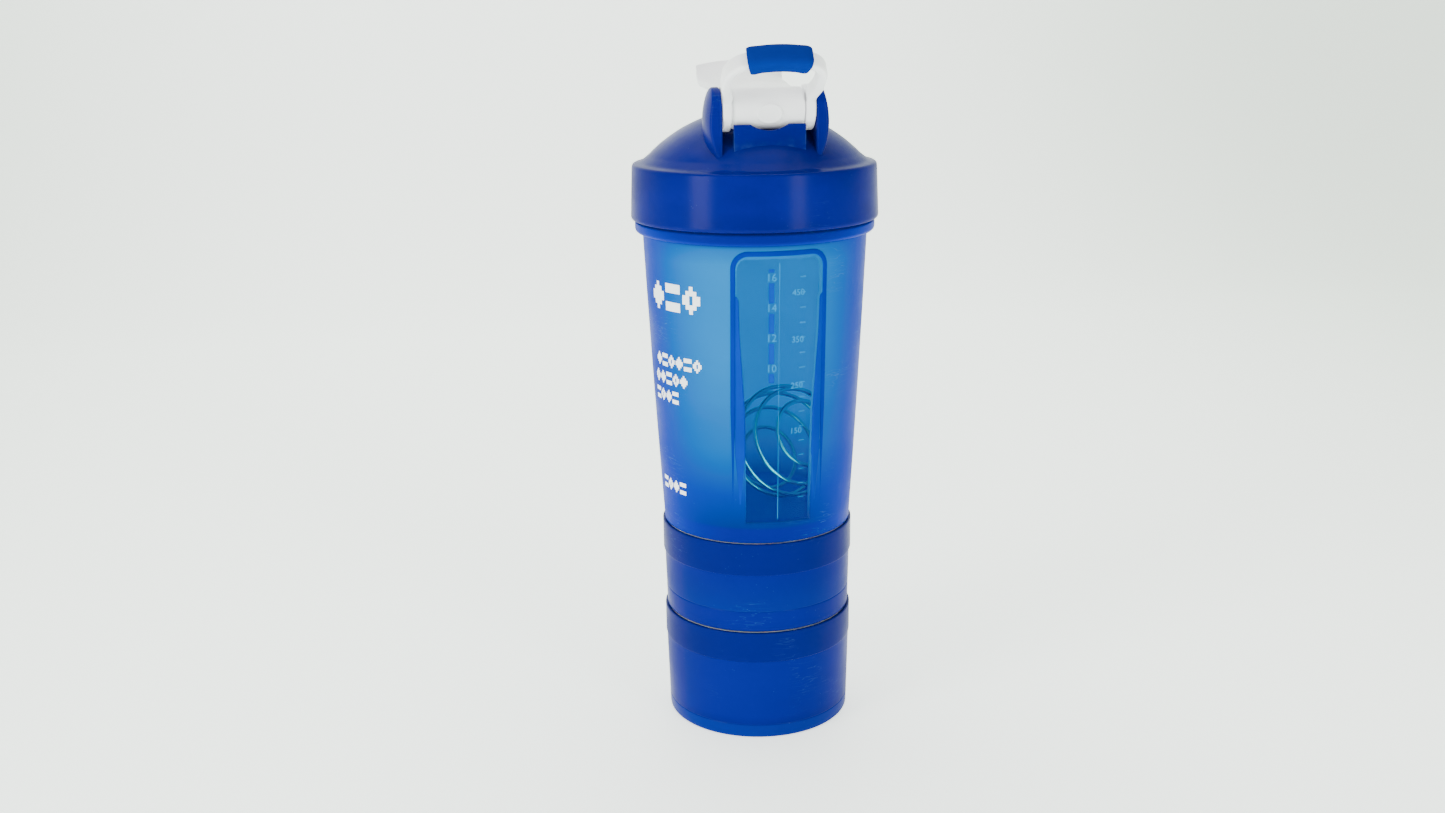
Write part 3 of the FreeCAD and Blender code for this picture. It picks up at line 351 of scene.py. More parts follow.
def thread(name: str, radius: float, height: float, lead: float, turns: float,
           bottom: float, root: float, crest: float) -> bpy.types.Object:
    """A screw thread's ridge on a round wall, fading out at both ends.

    The path is (r cos t, r sin t, bottom + lead t / one turn); the section is a trapezium
    from root to crest, lying on the wall.

    Args:
        name: The new object's name.
        radius: The wall.
        height: How far the ridge stands out; negative on the inside of a wall.
        lead: Rise in one turn.
        turns: Length.
        bottom: Level where it starts.
        root: Width at the wall.
        crest: Width at the top.

    Returns:
        The linked object.
    """
    turn = np.linspace(0, turns * FULL_TURN, int(160 * turns))
    outward = np.stack([np.cos(turn), np.sin(turn), 0 * turn], -1)
    path = outward * radius
    path[:, 2] = bottom + lead * turn / FULL_TURN
    corners = [(-root / 2, -0.2), (root / 2, -0.2), (crest / 2, abs(height)),
               (-crest / 2, abs(height))]
    section = rounded_outline(corners, [0, 0, 0.3, 0.3], 3, True)
    ends = np.minimum(1, np.minimum(turn, turn[-1] - turn) / 0.12)
    fade = 0.15 + 0.85 * ends
    return sweep(name, path, outward * math.copysign(1, height), section, fade)


def jar_thread(name: str, radius: float, side: int, bottom: float) -> bpy.types.Object:
    """The ridge of the jars' screw joints; side is 1 outside a wall and -1 inside it."""
    return thread(name, radius, side * JAR_RIDGE, 4.0, 1.0, bottom, 2.0, 1.0)


def lid_thread(name: str, radius: float, height: float, bottom: float) -> bpy.types.Object:
    """The ridge of the lid's screw joint; its height is negative inside a wall."""
    return thread(name, radius, height, 5.5, 1.4, bottom, 2.8, 1.4)


# ====================================================================== finishes
class Graph:
    """Short ways to add and join nodes in one node tree."""

    def __init__(self, tree: bpy.types.NodeTree) -> None:
        """Keeps the tree that nodes go into."""
        self.tree = tree

    def add(self, kind: str, **values: object) -> bpy.types.Node:
        """Adds a node.

        Args:
            kind: The node's type, without the leading "ShaderNode".
            **values: Its settings; a name that is no setting is an input socket, with
                underscores for spaces.

        Returns:
            The node.
        """
        node = self.tree.nodes.new("ShaderNode" + kind)
        for name, value in values.items():
            if hasattr(node, name):
                setattr(node, name, value)
            else:
                self.put(node.inputs[name.replace("_", " ")], value)
        return node

    def put(self, socket: bpy.types.NodeSocket, value: object) -> None:
        """Joins a socket to an output, or gives it a value."""
        if isinstance(value, bpy.types.NodeSocket):
            self.tree.links.new(value, socket)
        else:
            socket.default_value = value

    def maths(self, operation: str, a: object, b: object = 0.0) -> bpy.types.NodeSocket:
        """One sum of two values, as an output socket."""
        node = self.tree.nodes.new("ShaderNodeMath")
        node.operation = operation
        self.put(node.inputs[0], a)
        self.put(node.inputs[1], b)
        return node.outputs[0]

    def between(self, value: object, low: float, high: float, to_low: float = 0.0,
                to_high: float = 1.0) -> bpy.types.NodeSocket:
        """A value brought from one range to another, smoothly."""
        node = self.add("MapRange", interpolation_type="SMOOTHSTEP")
        for socket, number in zip(node.inputs, (value, low, high, to_low, to_high)):
            self.put(socket, number)
        return node.outputs[0]

    def mixed(self, share: object, a: object, b: object) -> bpy.types.NodeSocket:
        """A colour between two."""
        node = self.add("Mix", data_type="RGBA")
        for socket, value in ((node.inputs[0], share), (node.inputs[6], a),
                              (node.inputs[7], b)):
            self.put(socket, (*value, 1) if isinstance(value, tuple) else value)
        return node.outputs[2]


class Effect(Enum):
    """Effects that several finishes share, each a node group."""
    GRAIN = "moulded grain"
    # Lighter outer edges: partly rubbing, partly a painted highlight.
    WEAR_AND_HIGHLIGHT = "worn edges"
    SCUFFS = "scuffs and dust"
    MOTTLE = "slow variation"


def new_group(effect: Effect, inputs: dict[str, float],
              outputs: dict[str, str]) -> tuple[Graph, dict, dict]:
    """Starts a node group with named inputs and outputs.

    Args:
        effect: Whose group this is.
        inputs: Input names and their usual values.
        outputs: Output names and socket types.

    Returns:
        The graph, its input sockets and its output sockets by name.
    """
    tree = bpy.data.node_groups.new(effect.value, "ShaderNodeTree")
    for name, value in inputs.items():
        socket = tree.interface.new_socket(name, in_out="INPUT",
                                           socket_type="NodeSocketFloat")
        socket.default_value = value
    for name, kind in outputs.items():
        tree.interface.new_socket(name, in_out="OUTPUT", socket_type=kind)
    graph = Graph(tree)
    taken = tree.nodes.new("NodeGroupInput")
    given = tree.nodes.new("NodeGroupOutput")
    return (graph, {s.name: s for s in taken.outputs if s.name},
            {s.name: s for s in given.inputs if s.name})


def grain_group() -> None:
    """Spark-eroded mould grain: two sizes of fine noise, as a normal."""
    graph, taken, given = new_group(Effect.GRAIN, {"Scale": 2500.0, "Depth": 0.1},
                                    {"Normal": "NodeSocketVector"})
    place = graph.add("TexCoord").outputs["Object"]
    fine = graph.add("TexNoise", Vector=place, Scale=taken["Scale"], Detail=3.0)
    coarse = graph.add("TexNoise", Vector=place,
                       Scale=graph.maths("MULTIPLY", taken["Scale"], 0.12), Detail=2.0)
    height = graph.maths("ADD", fine.outputs[0],
                         graph.maths("MULTIPLY", coarse.outputs[0], 1.5))
    bump = graph.add("Bump", Strength=taken["Depth"], Distance=0.0002, Height=height)
    graph.put(given["Normal"], bump.outputs[0])


def wear_and_highlight_group() -> None:
    """Outer edges lighter in broken patches: partly rubbing, partly a painted highlight along
    the edges.
    """
    graph, taken, given = new_group(Effect.WEAR_AND_HIGHLIGHT, {"Amount": 0.5}, {"Mask": "NodeSocketFloat"})
    place = graph.add("TexCoord").outputs["Object"]
    out = graph.add("Attribute", attribute_name="edge").outputs["Fac"]
    broken = graph.add("TexNoise", Vector=place, Scale=240.0, Detail=5.0).outputs[0]
    edge = graph.between(out, 0.10, 0.42)
    patch = graph.between(broken, 0.38, 0.66)
    mask = graph.maths("MULTIPLY", graph.maths("MULTIPLY", edge, patch), taken["Amount"])
    graph.put(given["Mask"], mask)


def scuff_group() -> None:
    """Thin rubbed lines and specks of dust, sparse and uneven."""
    graph, taken, given = new_group(Effect.SCUFFS, {"Amount": 0.4, "Dust": 0.3},
                                    {"Lines": "NodeSocketFloat", "Specks": "NodeSocketFloat"})
    place = graph.add("TexCoord").outputs["Object"]
    lean = graph.add("Mapping", Vector=place, Rotation=(0.5, 0.3, 0.9), Scale=(1.0, 1.0, 9.0))
    lines = graph.add("TexNoise", Vector=lean.outputs[0], Scale=70.0, Detail=2.0).outputs[0]
    away = graph.maths("ABSOLUTE", graph.maths("SUBTRACT", lines, 0.5))
    thin = graph.between(away, 0.0, 0.012, 1.0, 0.0)
    where = graph.add("TexNoise", Vector=place, Scale=38.0, Detail=1.0).outputs[0]
    some = graph.between(where, 0.58, 0.70)
    graph.put(given["Lines"], graph.maths(
        "MULTIPLY", graph.maths("MULTIPLY", thin, some), taken["Amount"]))
    cells = graph.add("TexVoronoi", Vector=place, Scale=620.0).outputs["Distance"]
    speck = graph.between(cells, 0.06, 0.12, 1.0, 0.0)
    few = graph.between(graph.add("TexNoise", Vector=place, Scale=150.0).outputs[0],
                        0.58, 0.64)
    graph.put(given["Specks"], graph.maths(
        "MULTIPLY", graph.maths("MULTIPLY", speck, few), taken["Dust"]))


def mottle_group() -> None:
    """Slow change in shade and gloss over a moulding, drawn out round its axis."""
    graph, taken, given = new_group(Effect.MOTTLE, {"Scale": 18.0},
                                    {"Value": "NodeSocketFloat"})
    place = graph.add("TexCoord").outputs["Object"]
    drawn = graph.add("Mapping", Vector=place, Scale=(1.0, 1.0, 2.4))
    noise = graph.add("TexNoise", Vector=drawn.outputs[0], Scale=taken["Scale"], Detail=3.0)
    graph.put(given["Value"], graph.between(noise.outputs[0], 0.3, 0.7))


def make_effects() -> None:
    """Builds the shared node groups once."""
    for build in (grain_group, wear_and_highlight_group, scuff_group, mottle_group):
        build()


@dataclass(frozen=True)
class Finish:
    """A moulded plastic, rubber or metal finish.

    Attributes:
        name: The material's name.
        stops: Levels in millimetres and the colour at each, lowest first; one entry is
            one colour all over.
        worn_and_highlight: Colour of rubbed edges, lines and dust; on the edges it is partly a
            painted highlight.
        roughness: Middle roughness.
        spread: How much roughness varies.
        grain: Grain scale, in cells a metre.
        depth: Grain depth, nought to one.
        wear_and_highlight: How much the outer edges are lightened, partly by rubbing and partly
            as a painted highlight.
        scuffs: How strong the thin lines are.
        dust: How strong the specks are.
        shade: How much slow variation darkens the colour.
        clear: How much light passes straight through.
        painted_glow: Painted light: emission in the surface's own colour, standing in for light
            that soaks through from behind.
        metal: One for bare metal.
        coat: Glossy skin over the colour.
        soak: How much light spreads under the skin.
        specular: How strongly the skin mirrors.
        ior: The skin's bending of light, which sets how much it mirrors at a slant.
        sheen_tint: Colour of what the skin mirrors.
        limb_shade: Painted shade: a darker colour where the sight line runs through the wall at
            a
        slant, standing in for light's longer path through the tinted wall; for clear and
        frosted plastic only.
    """
    name: str
    stops: tuple[tuple[float, Colour], ...]
    worn_and_highlight: Colour = (0.35, 0.48, 0.72)
    roughness: float = 0.38
    spread: float = 0.06
    grain: float = 2600.0
    depth: float = 0.10
    wear_and_highlight: float = 0.35
    scuffs: float = 0.25
    dust: float = 0.3
    shade: float = 0.12
    clear: float = 0.0
    painted_glow: float = 0.0
    metal: float = 0.0
    coat: float = 0.0
    soak: float = 0.0
    specular: float = 0.5
    ior: float = 1.09
    sheen_tint: Colour = (0.12, 0.36, 1.0)
    limb_shade: Colour | None = None

    def make(self) -> bpy.types.Material:
        """Builds the material.

        Returns:
            The material, with its colour from the height (painted light and shade on the cup),
            rubbed edges that are partly a painted highlight, and dust laid over it.
        """
        made = bpy.data.materials.new(self.name)
        made.use_nodes = True
        graph = Graph(made.node_tree)
        shader = made.node_tree.nodes["Principled BSDF"]
        colour = self.by_height(graph)
        mottle = self.effect(graph, Effect.MOTTLE, Scale=22.0).outputs["Value"]
        dark = tuple(c * (1 - self.shade) for c in self.stops[0][1])
        if len(self.stops) > 1:
            toned = graph.mixed(graph.maths("MULTIPLY", mottle, self.shade), colour,
                                (0.0, 0.0, 0.01))
        else:
            toned = graph.mixed(mottle, colour, dark)
        # Lighter outer edges: partly rubbing, partly a painted highlight.
        wear_and_highlight = self.effect(graph, Effect.WEAR_AND_HIGHLIGHT, Amount=self.wear_and_highlight).outputs["Mask"]
        scuffs = self.effect(graph, Effect.SCUFFS, Amount=self.scuffs, Dust=self.dust)
        rubbed = graph.maths("ADD", wear_and_highlight, scuffs.outputs["Lines"])
        marked = graph.maths("MINIMUM", graph.maths("ADD", rubbed, scuffs.outputs["Specks"]),
                             1.0)
        # Painted shade: clear and frosted walls darken where they are seen at a slant.
        if self.limb_shade is not None:
            facing = graph.add("LayerWeight", Blend=0.5).outputs["Facing"]
            toned = graph.mixed(graph.between(facing, 0.02, 0.70, 0.0, 0.95), toned, self.limb_shade)
        shown = graph.mixed(marked, toned, self.worn_and_highlight)
        graph.put(shader.inputs["Base Color"], shown)
        low, high = self.roughness - self.spread, self.roughness + self.spread
        rough = graph.maths("ADD", graph.between(mottle, 0.0, 1.0, low, high),
                            graph.maths("MULTIPLY", marked, 0.25))
        graph.put(shader.inputs["Roughness"], rough)
        grain = self.effect(graph, Effect.GRAIN, Scale=self.grain, Depth=self.depth)
        graph.put(shader.inputs["Normal"], grain.outputs["Normal"])
        # Painted light: the surface emits its own colour.
        if self.painted_glow:
            graph.put(shader.inputs["Emission Color"], shown)
        for socket, value in (("Transmission Weight", self.clear), ("Metallic", self.metal),
                              ("Coat Weight", self.coat), ("Coat Roughness", 0.22),
                              ("Emission Strength", self.painted_glow),
                              ("Subsurface Weight", self.soak), ("Subsurface Scale", 0.004),
                              ("Specular IOR Level", self.specular), ("IOR", self.ior)):
            shader.inputs[socket].default_value = value
        shader.inputs["Specular Tint"].default_value = (*self.sheen_tint, 1)
        return made

    def by_height(self, graph: Graph) -> bpy.types.NodeSocket | Colour:
        """The colour at each level, as a ramp over the piece's own height."""
        if len(self.stops) == 1:
            return self.stops[0][1]
        low, high = self.stops[0][0], self.stops[-1][0]
        place = graph.add("SeparateXYZ", Vector=graph.add("TexCoord").outputs["Object"])
        share = graph.maths("DIVIDE", graph.maths("SUBTRACT", place.outputs["Z"], low * MM),
                            (high - low) * MM)
        ramp = graph.add("ValToRGB", Fac=share)
        points = ramp.color_ramp.elements
        while len(points) < len(self.stops):
            points.new(0.5)
        for point, (height, colour) in zip(points, self.stops):
            point.position = (height - low) / (high - low)
            point.color = (*colour, 1)
        return ramp.outputs["Color"]

    def effect(self, graph: Graph, effect: Effect, **values: float) -> bpy.types.Node:
        """Adds one of the shared groups with its inputs set."""
        node = graph.add("Group", node_tree=bpy.data.node_groups[effect.value])
        for name, value in values.items():
            node.inputs[name].default_value = value
        return node


def dress(made: bpy.types.Object, body: str, slot_name: str,
          finishes: Sequence[bpy.types.Material], *nodes: str) -> bpy.types.Object:
    """Gives a piece its finishes and its moving body, and hides the nodes it stands for.

    Args:
        made: The piece.
        body: The body it rides on.
        slot_name: The record's material slot; not used.
        finishes: Materials in slot order.
        *nodes: CAD nodes it replaces.

    Returns:
        The same piece.
    """
    chosen = np.zeros(len(made.data.polygons), np.int32)
    made.data.polygons.foreach_get("material_index", chosen)
    made.data.materials.clear()
    for finish in finishes:
        made.data.materials.append(finish)
    made.data.polygons.foreach_set("material_index", chosen)
    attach(made, body)
    if nodes:
        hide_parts(*nodes)
    LOG.info("%s: %d faces, rides on %s", made.name, len(chosen), body)
    return made


class Plastics:
    """Every finish on the bottle."""

    def __init__(self) -> None:
        """Builds the materials."""
        # Painted shade: the cup's dark blue where no light soaks through its wall.
        deep_painted_shade: Colour = (0.001, 0.0055, 0.15)
        plain: Colour = (1.0, 1.0, 1.0)
        unmarked = {"wear_and_highlight": 0.0, "scuffs": 0.0, "dust": 0.0}
        # On the lid the lighter edges paint the highlight along the band's top edge.
        self.lid = Finish("deep_blue_satin", ((0, (0.002, 0.0048, 0.155)),),
                          worn_and_highlight=(0.05, 0.12, 0.32), roughness=0.36, spread=0.05, depth=0.16,
                          scuffs=0.15, shade=0.25, coat=0.09).make()
        # Painted light and shade: the frosted cup's colour by height stands in for light
        # soaking through the wall, bright over the middle levels, with painted shade below the
        # floor and under the flange; it also emits its colour and darkens at the slanting
        # sides.
        self.frosted = Finish(
            "frosted_blue", ((70, deep_painted_shade), (87.6, deep_painted_shade), (88.6, (0.0, 0.014, 0.13)),
                             (101, (0.0, 0.024, 0.22)), (120, (0.0, 0.085, 0.30)),
                             (150, (0.0, 0.130, 0.36)), (190, (0.0, 0.138, 0.37)),
                             (196.4, (0.0, 0.090, 0.30)), (197.4, deep_painted_shade), (218, deep_painted_shade)),
            worn_and_highlight=(0.05, 0.2, 0.35), roughness=0.42, depth=0.22, shade=0.06, wear_and_highlight=0.2,
            dust=0.2, painted_glow=0.35, coat=0.02, limb_shade=(0.0, 0.016, 0.26)).make()
        # Painted light: the wall's inside emits strongly, standing in for light soaking in
        # through the wall, with painted shade at the floor and under the lid.
        self.inside = Finish(
            "blue_wall_inside", ((70, deep_painted_shade), (88.0, deep_painted_shade), (88.4, (0.0, 0.012, 0.14)),
                                 (96, (0.0, 0.05, 0.24)), (120, (0.0, 0.14, 0.36)),
                                 (190, (0.0, 0.155, 0.37)), (206, (0.0, 0.06, 0.20))),
            roughness=0.30, depth=0.04, shade=0.05, painted_glow=1.3, **unmarked).make()
        self.window = Finish("clear_blue_window", ((0, (0.16, 0.90, 1.0)),), roughness=0.045,
                             spread=0.02, depth=0.01, wear_and_highlight=0.0, scuffs=0.04, dust=0.05,
                             shade=0.04, clear=1.0, ior=1.25).make()
        # Painted light: the frame, bands, scale, numbers and print below emit their own colour.
        self.frame = Finish("window_frame_blue", ((0, (0.0, 0.020, 0.24)),), roughness=0.28,
                            worn_and_highlight=(0.05, 0.15, 0.35), depth=0.05, wear_and_highlight=0.15, scuffs=0.05,
                            dust=0.1, painted_glow=0.25).make()
        self.band = Finish("window_band_blue", ((0, (0.0, 0.030, 0.28)),), roughness=0.3,
                           worn_and_highlight=(0.02, 0.15, 0.35), depth=0.06, wear_and_highlight=0.1, scuffs=0.05,
                           dust=0.1, painted_glow=0.4, limb_shade=(0.0, 0.022, 0.16)).make()
        self.scale = Finish("scale_blue", ((0, (0.0, 0.042, 0.30)),), roughness=0.3,
                            depth=0.03, painted_glow=0.4, **unmarked).make()
        self.digits = Finish("scale_digits", ((0, (0.0, 0.19, 0.42)),), roughness=0.35,
                             depth=0.03, painted_glow=0.8, **unmarked).make()
        self.print = Finish("white_print", ((0, (0.86, 0.88, 0.90)),), worn_and_highlight=(0.35, 0.6, 0.8),
                            roughness=0.5, depth=0.08, wear_and_highlight=0.1, scuffs=0.1, dust=0.0,
                            shade=0.04, painted_glow=0.6, ior=1.35, sheen_tint=plain).make()
        wall: Colour = (0.001, 0.0062, 0.165)
        collar: Colour = (0.001, 0.0050, 0.125)
        foot: Colour = (0.001, 0.013, 0.19)
        self.jar = Finish(
            "jar_blue", ((0, foot), (5.3, foot), (5.9, (0.001, 0.005, 0.14)), (9, wall),
                         (32.9, wall), (33.1, collar), (45.2, collar), (45.4, wall),
                         (53.4, wall), (53.9, (0.001, 0.011, 0.17)), (69.0, wall),
                         (69.2, collar), (82, collar)),
            worn_and_highlight=(0.05, 0.12, 0.34), roughness=0.34, depth=0.12, scuffs=0.25, shade=0.10,
            dust=0.35, coat=0.04).make()
        # Painted light: the white plastic emits a little of its own colour to look brighter.
        self.white = Finish("white_plastic", ((0, (0.95, 0.96, 0.965)),),
                            worn_and_highlight=(0.6, 0.61, 0.63), roughness=0.34, depth=0.10, wear_and_highlight=0.2,
                            scuffs=0.2, dust=0.15, shade=0.05, painted_glow=0.12,
                            ior=1.42, sheen_tint=plain).make()
        self.grip = Finish("soft_blue_grip", ((0, (0.004, 0.019, 0.19)),),
                           worn_and_highlight=(0.05, 0.13, 0.35), roughness=0.62, grain=3800.0, depth=0.35,
                           wear_and_highlight=0.3, scuffs=0.1, dust=0.4, shade=0.15).make()
        self.seal = Finish("clear_silicone", ((0, (0.70, 0.74, 0.76)),),
                           worn_and_highlight=(0.5, 0.5, 0.5), roughness=0.45, depth=0.06, wear_and_highlight=0.0,
                           scuffs=0.05, clear=0.5, soak=0.2, ior=1.41, sheen_tint=plain).make()
        self.tray = Finish("tray_plastic", ((0, (0.01, 0.03, 0.22)),), roughness=0.34,
                           depth=0.10).make()
        self.steel = Finish("steel_wire", ((0, (0.62, 0.64, 0.66)),), worn_and_highlight=(0.4, 0.4, 0.4),
                            roughness=0.16, spread=0.05, grain=5200.0, depth=0.06, wear_and_highlight=0.0,
                            scuffs=0.3, dust=0.0, shade=0.15, metal=1.0, ior=1.5,
                            sheen_tint=plain).make()


# ====================================================================== jars
@dataclass
class Jar:
    """A storage jar: foot or neck below, tapered wall, threaded collar above.

    Attributes:
        node: The CAD node it stands for.
        body: The body it rides on.
        base: Radius at the wall's lower end.
        top: Radius under the collar.
        collar: Radius of the collar.
        collar_height: Height of the collar.
        neck: Radius of the neck below that screws into the next collar; nought for a foot.
        bottom: Level of the wall's lower end.
        wall: Thickness.
        bore: Radius inside the collar.
        recess: How much wider the seal's recess is than the bore.
        lip: Depth of that recess.
        groove: Level of the fine moulded line round the wall, above its lower end.
    """
    node: str
    body: str
    base: float
    top: float
    collar: float
    collar_height: float
    neck: float
    bottom: float
    wall: float = 2.0
    bore: float = 35.45
    recess: float = 1.0
    lip: float = 1.5
    groove: float = 5.7

    def profile(self) -> np.ndarray:
        """Outline from the middle of the floor inside, over the rim, to the underside."""
        bottom, rim = self.bottom, level(self.node)[1]
        shoulder = rim - self.collar_height
        slope = (self.top - self.base) / (shoulder - bottom)
        line = bottom + self.groove
        at_line = self.base + slope * self.groove
        low_outside = [(at_line + 0.05 * slope, line + 0.35), (at_line - 0.16, line),
                       (at_line, line - 0.35), (self.base, bottom)]
        if self.neck:
            foot = bottom - NECK_LENGTH
            under = [(self.neck, bottom), (self.neck, foot), (self.neck - 2, foot),
                     (self.neck - 2, bottom), (0, bottom)]
            round_under = [0.2, 0.4, 0.4, 0.6, 0]
            base_round = 0.5
        else:
            under = [(29.4, bottom), (28.6, bottom + 0.8), (0, bottom + 0.8)]
            round_under = [0.3, 0.4, 0]
            base_round = 1.4
        corners = [(0, bottom + self.wall), (self.base - self.wall, bottom + self.wall),
                   (self.bore, shoulder + 1), (self.bore, rim - self.lip),
                   (self.bore + self.recess, rim - self.lip), (self.bore + self.recess, rim),
                   (self.collar, rim), (self.collar, shoulder),
                   (self.top, shoulder), *low_outside, *under]
        radii = [0, 1.2, 0.5, 0.1, 0.1, 0.15, 0.35, 0.35, 0.12, 0.1, 0.1, 0.1, base_round,
                 *round_under]
        return finely(rounded_outline(corners, radii, 5), 2.0)

    def build(self, plastics: Plastics) -> None:
        """Makes the jar with its threads."""
        rim = level(self.node)[1]
        half_lead = 2.0
        collar_start = rim + JOINT_GAP - NECK_LENGTH + THREAD_START + half_lead
        parts = [lathe(self.node + "_shell", self.profile(), 224),
                 jar_thread(self.node + "_collar_thread", self.bore, -1, collar_start)]
        if self.neck:
            parts.append(jar_thread(self.node + "_neck_thread", self.neck, 1,
                                    self.bottom - NECK_LENGTH + THREAD_START))
        made = joined(self.node + "_look", parts)
        dress(made, self.body, "jar_blue_plastic", [plastics.jar], self.node)


@dataclass
class Ring:
    """A flat seal ring with rounded edges.

    Attributes:
        node: The CAD node it stands for.
        body: The body it rides on.
        width: Its width from inner to outer edge.
    """
    node: str
    body: str
    width: float

    def build(self, plastics: Plastics) -> None:
        """Makes the ring from its node's box."""
        low, high = level(self.node)
        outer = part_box(self.node)[1].x / MM
        outline = rounded_box(self.width, high - low, 0.38, 4)
        outline += (outer - self.width / 2, (low + high) / 2)
        made = lathe(self.node + "_look", outline, 160)
        dress(made, self.body, "clear_silicone", [plastics.seal], self.node)


@dataclass
class PillTray:
    """The round tray in the upper jar, divided by walls right across.

    Attributes:
        wall: Thickness of its wall, floor and ribs.
        rim_drop: How far the ribs stop below the rim.
        first_rib: Bearing of the first rib.
    """
    wall: float = 1.2
    rim_drop: float = 0.6
    first_rib: float = math.radians(10)

    def build(self, plastics: Plastics) -> None:
        """Makes the dish and its two ribs."""
        low, high = level("pill_tray")
        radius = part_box("pill_tray")[1].x / MM
        inner = radius - self.wall
        profile = rounded_outline(
            [(0, low + self.wall), (inner, low + self.wall), (inner, high), (radius, high),
             (radius, low), (0, low)], [0, 0.9, 0.4, 0.5, 0.6, 0], 5)
        parts = [lathe("tray_dish", finely(profile, 3.0), 160)]
        top, foot = high - self.rim_drop, low + self.wall / 2
        section = rounded_box(self.wall, top - foot, 0.35, 4)
        for k in range(2):
            bearing = self.first_rib + k * math.pi / 2
            ahead = np.array([math.cos(bearing), math.sin(bearing), 0.0])
            path = ahead * np.linspace(-inner - 0.3, inner + 0.3, 9)[:, None]
            path[:, 2] = (top + foot) / 2
            upward = np.tile([0.0, 0.0, 1.0], (9, 1))
            parts.append(sweep("tray_rib_%d" % k, path, upward, section))
        made = joined("pill_tray_look", parts)
        dress(made, "tray", "tray_plastic", [plastics.tray], "pill_tray")


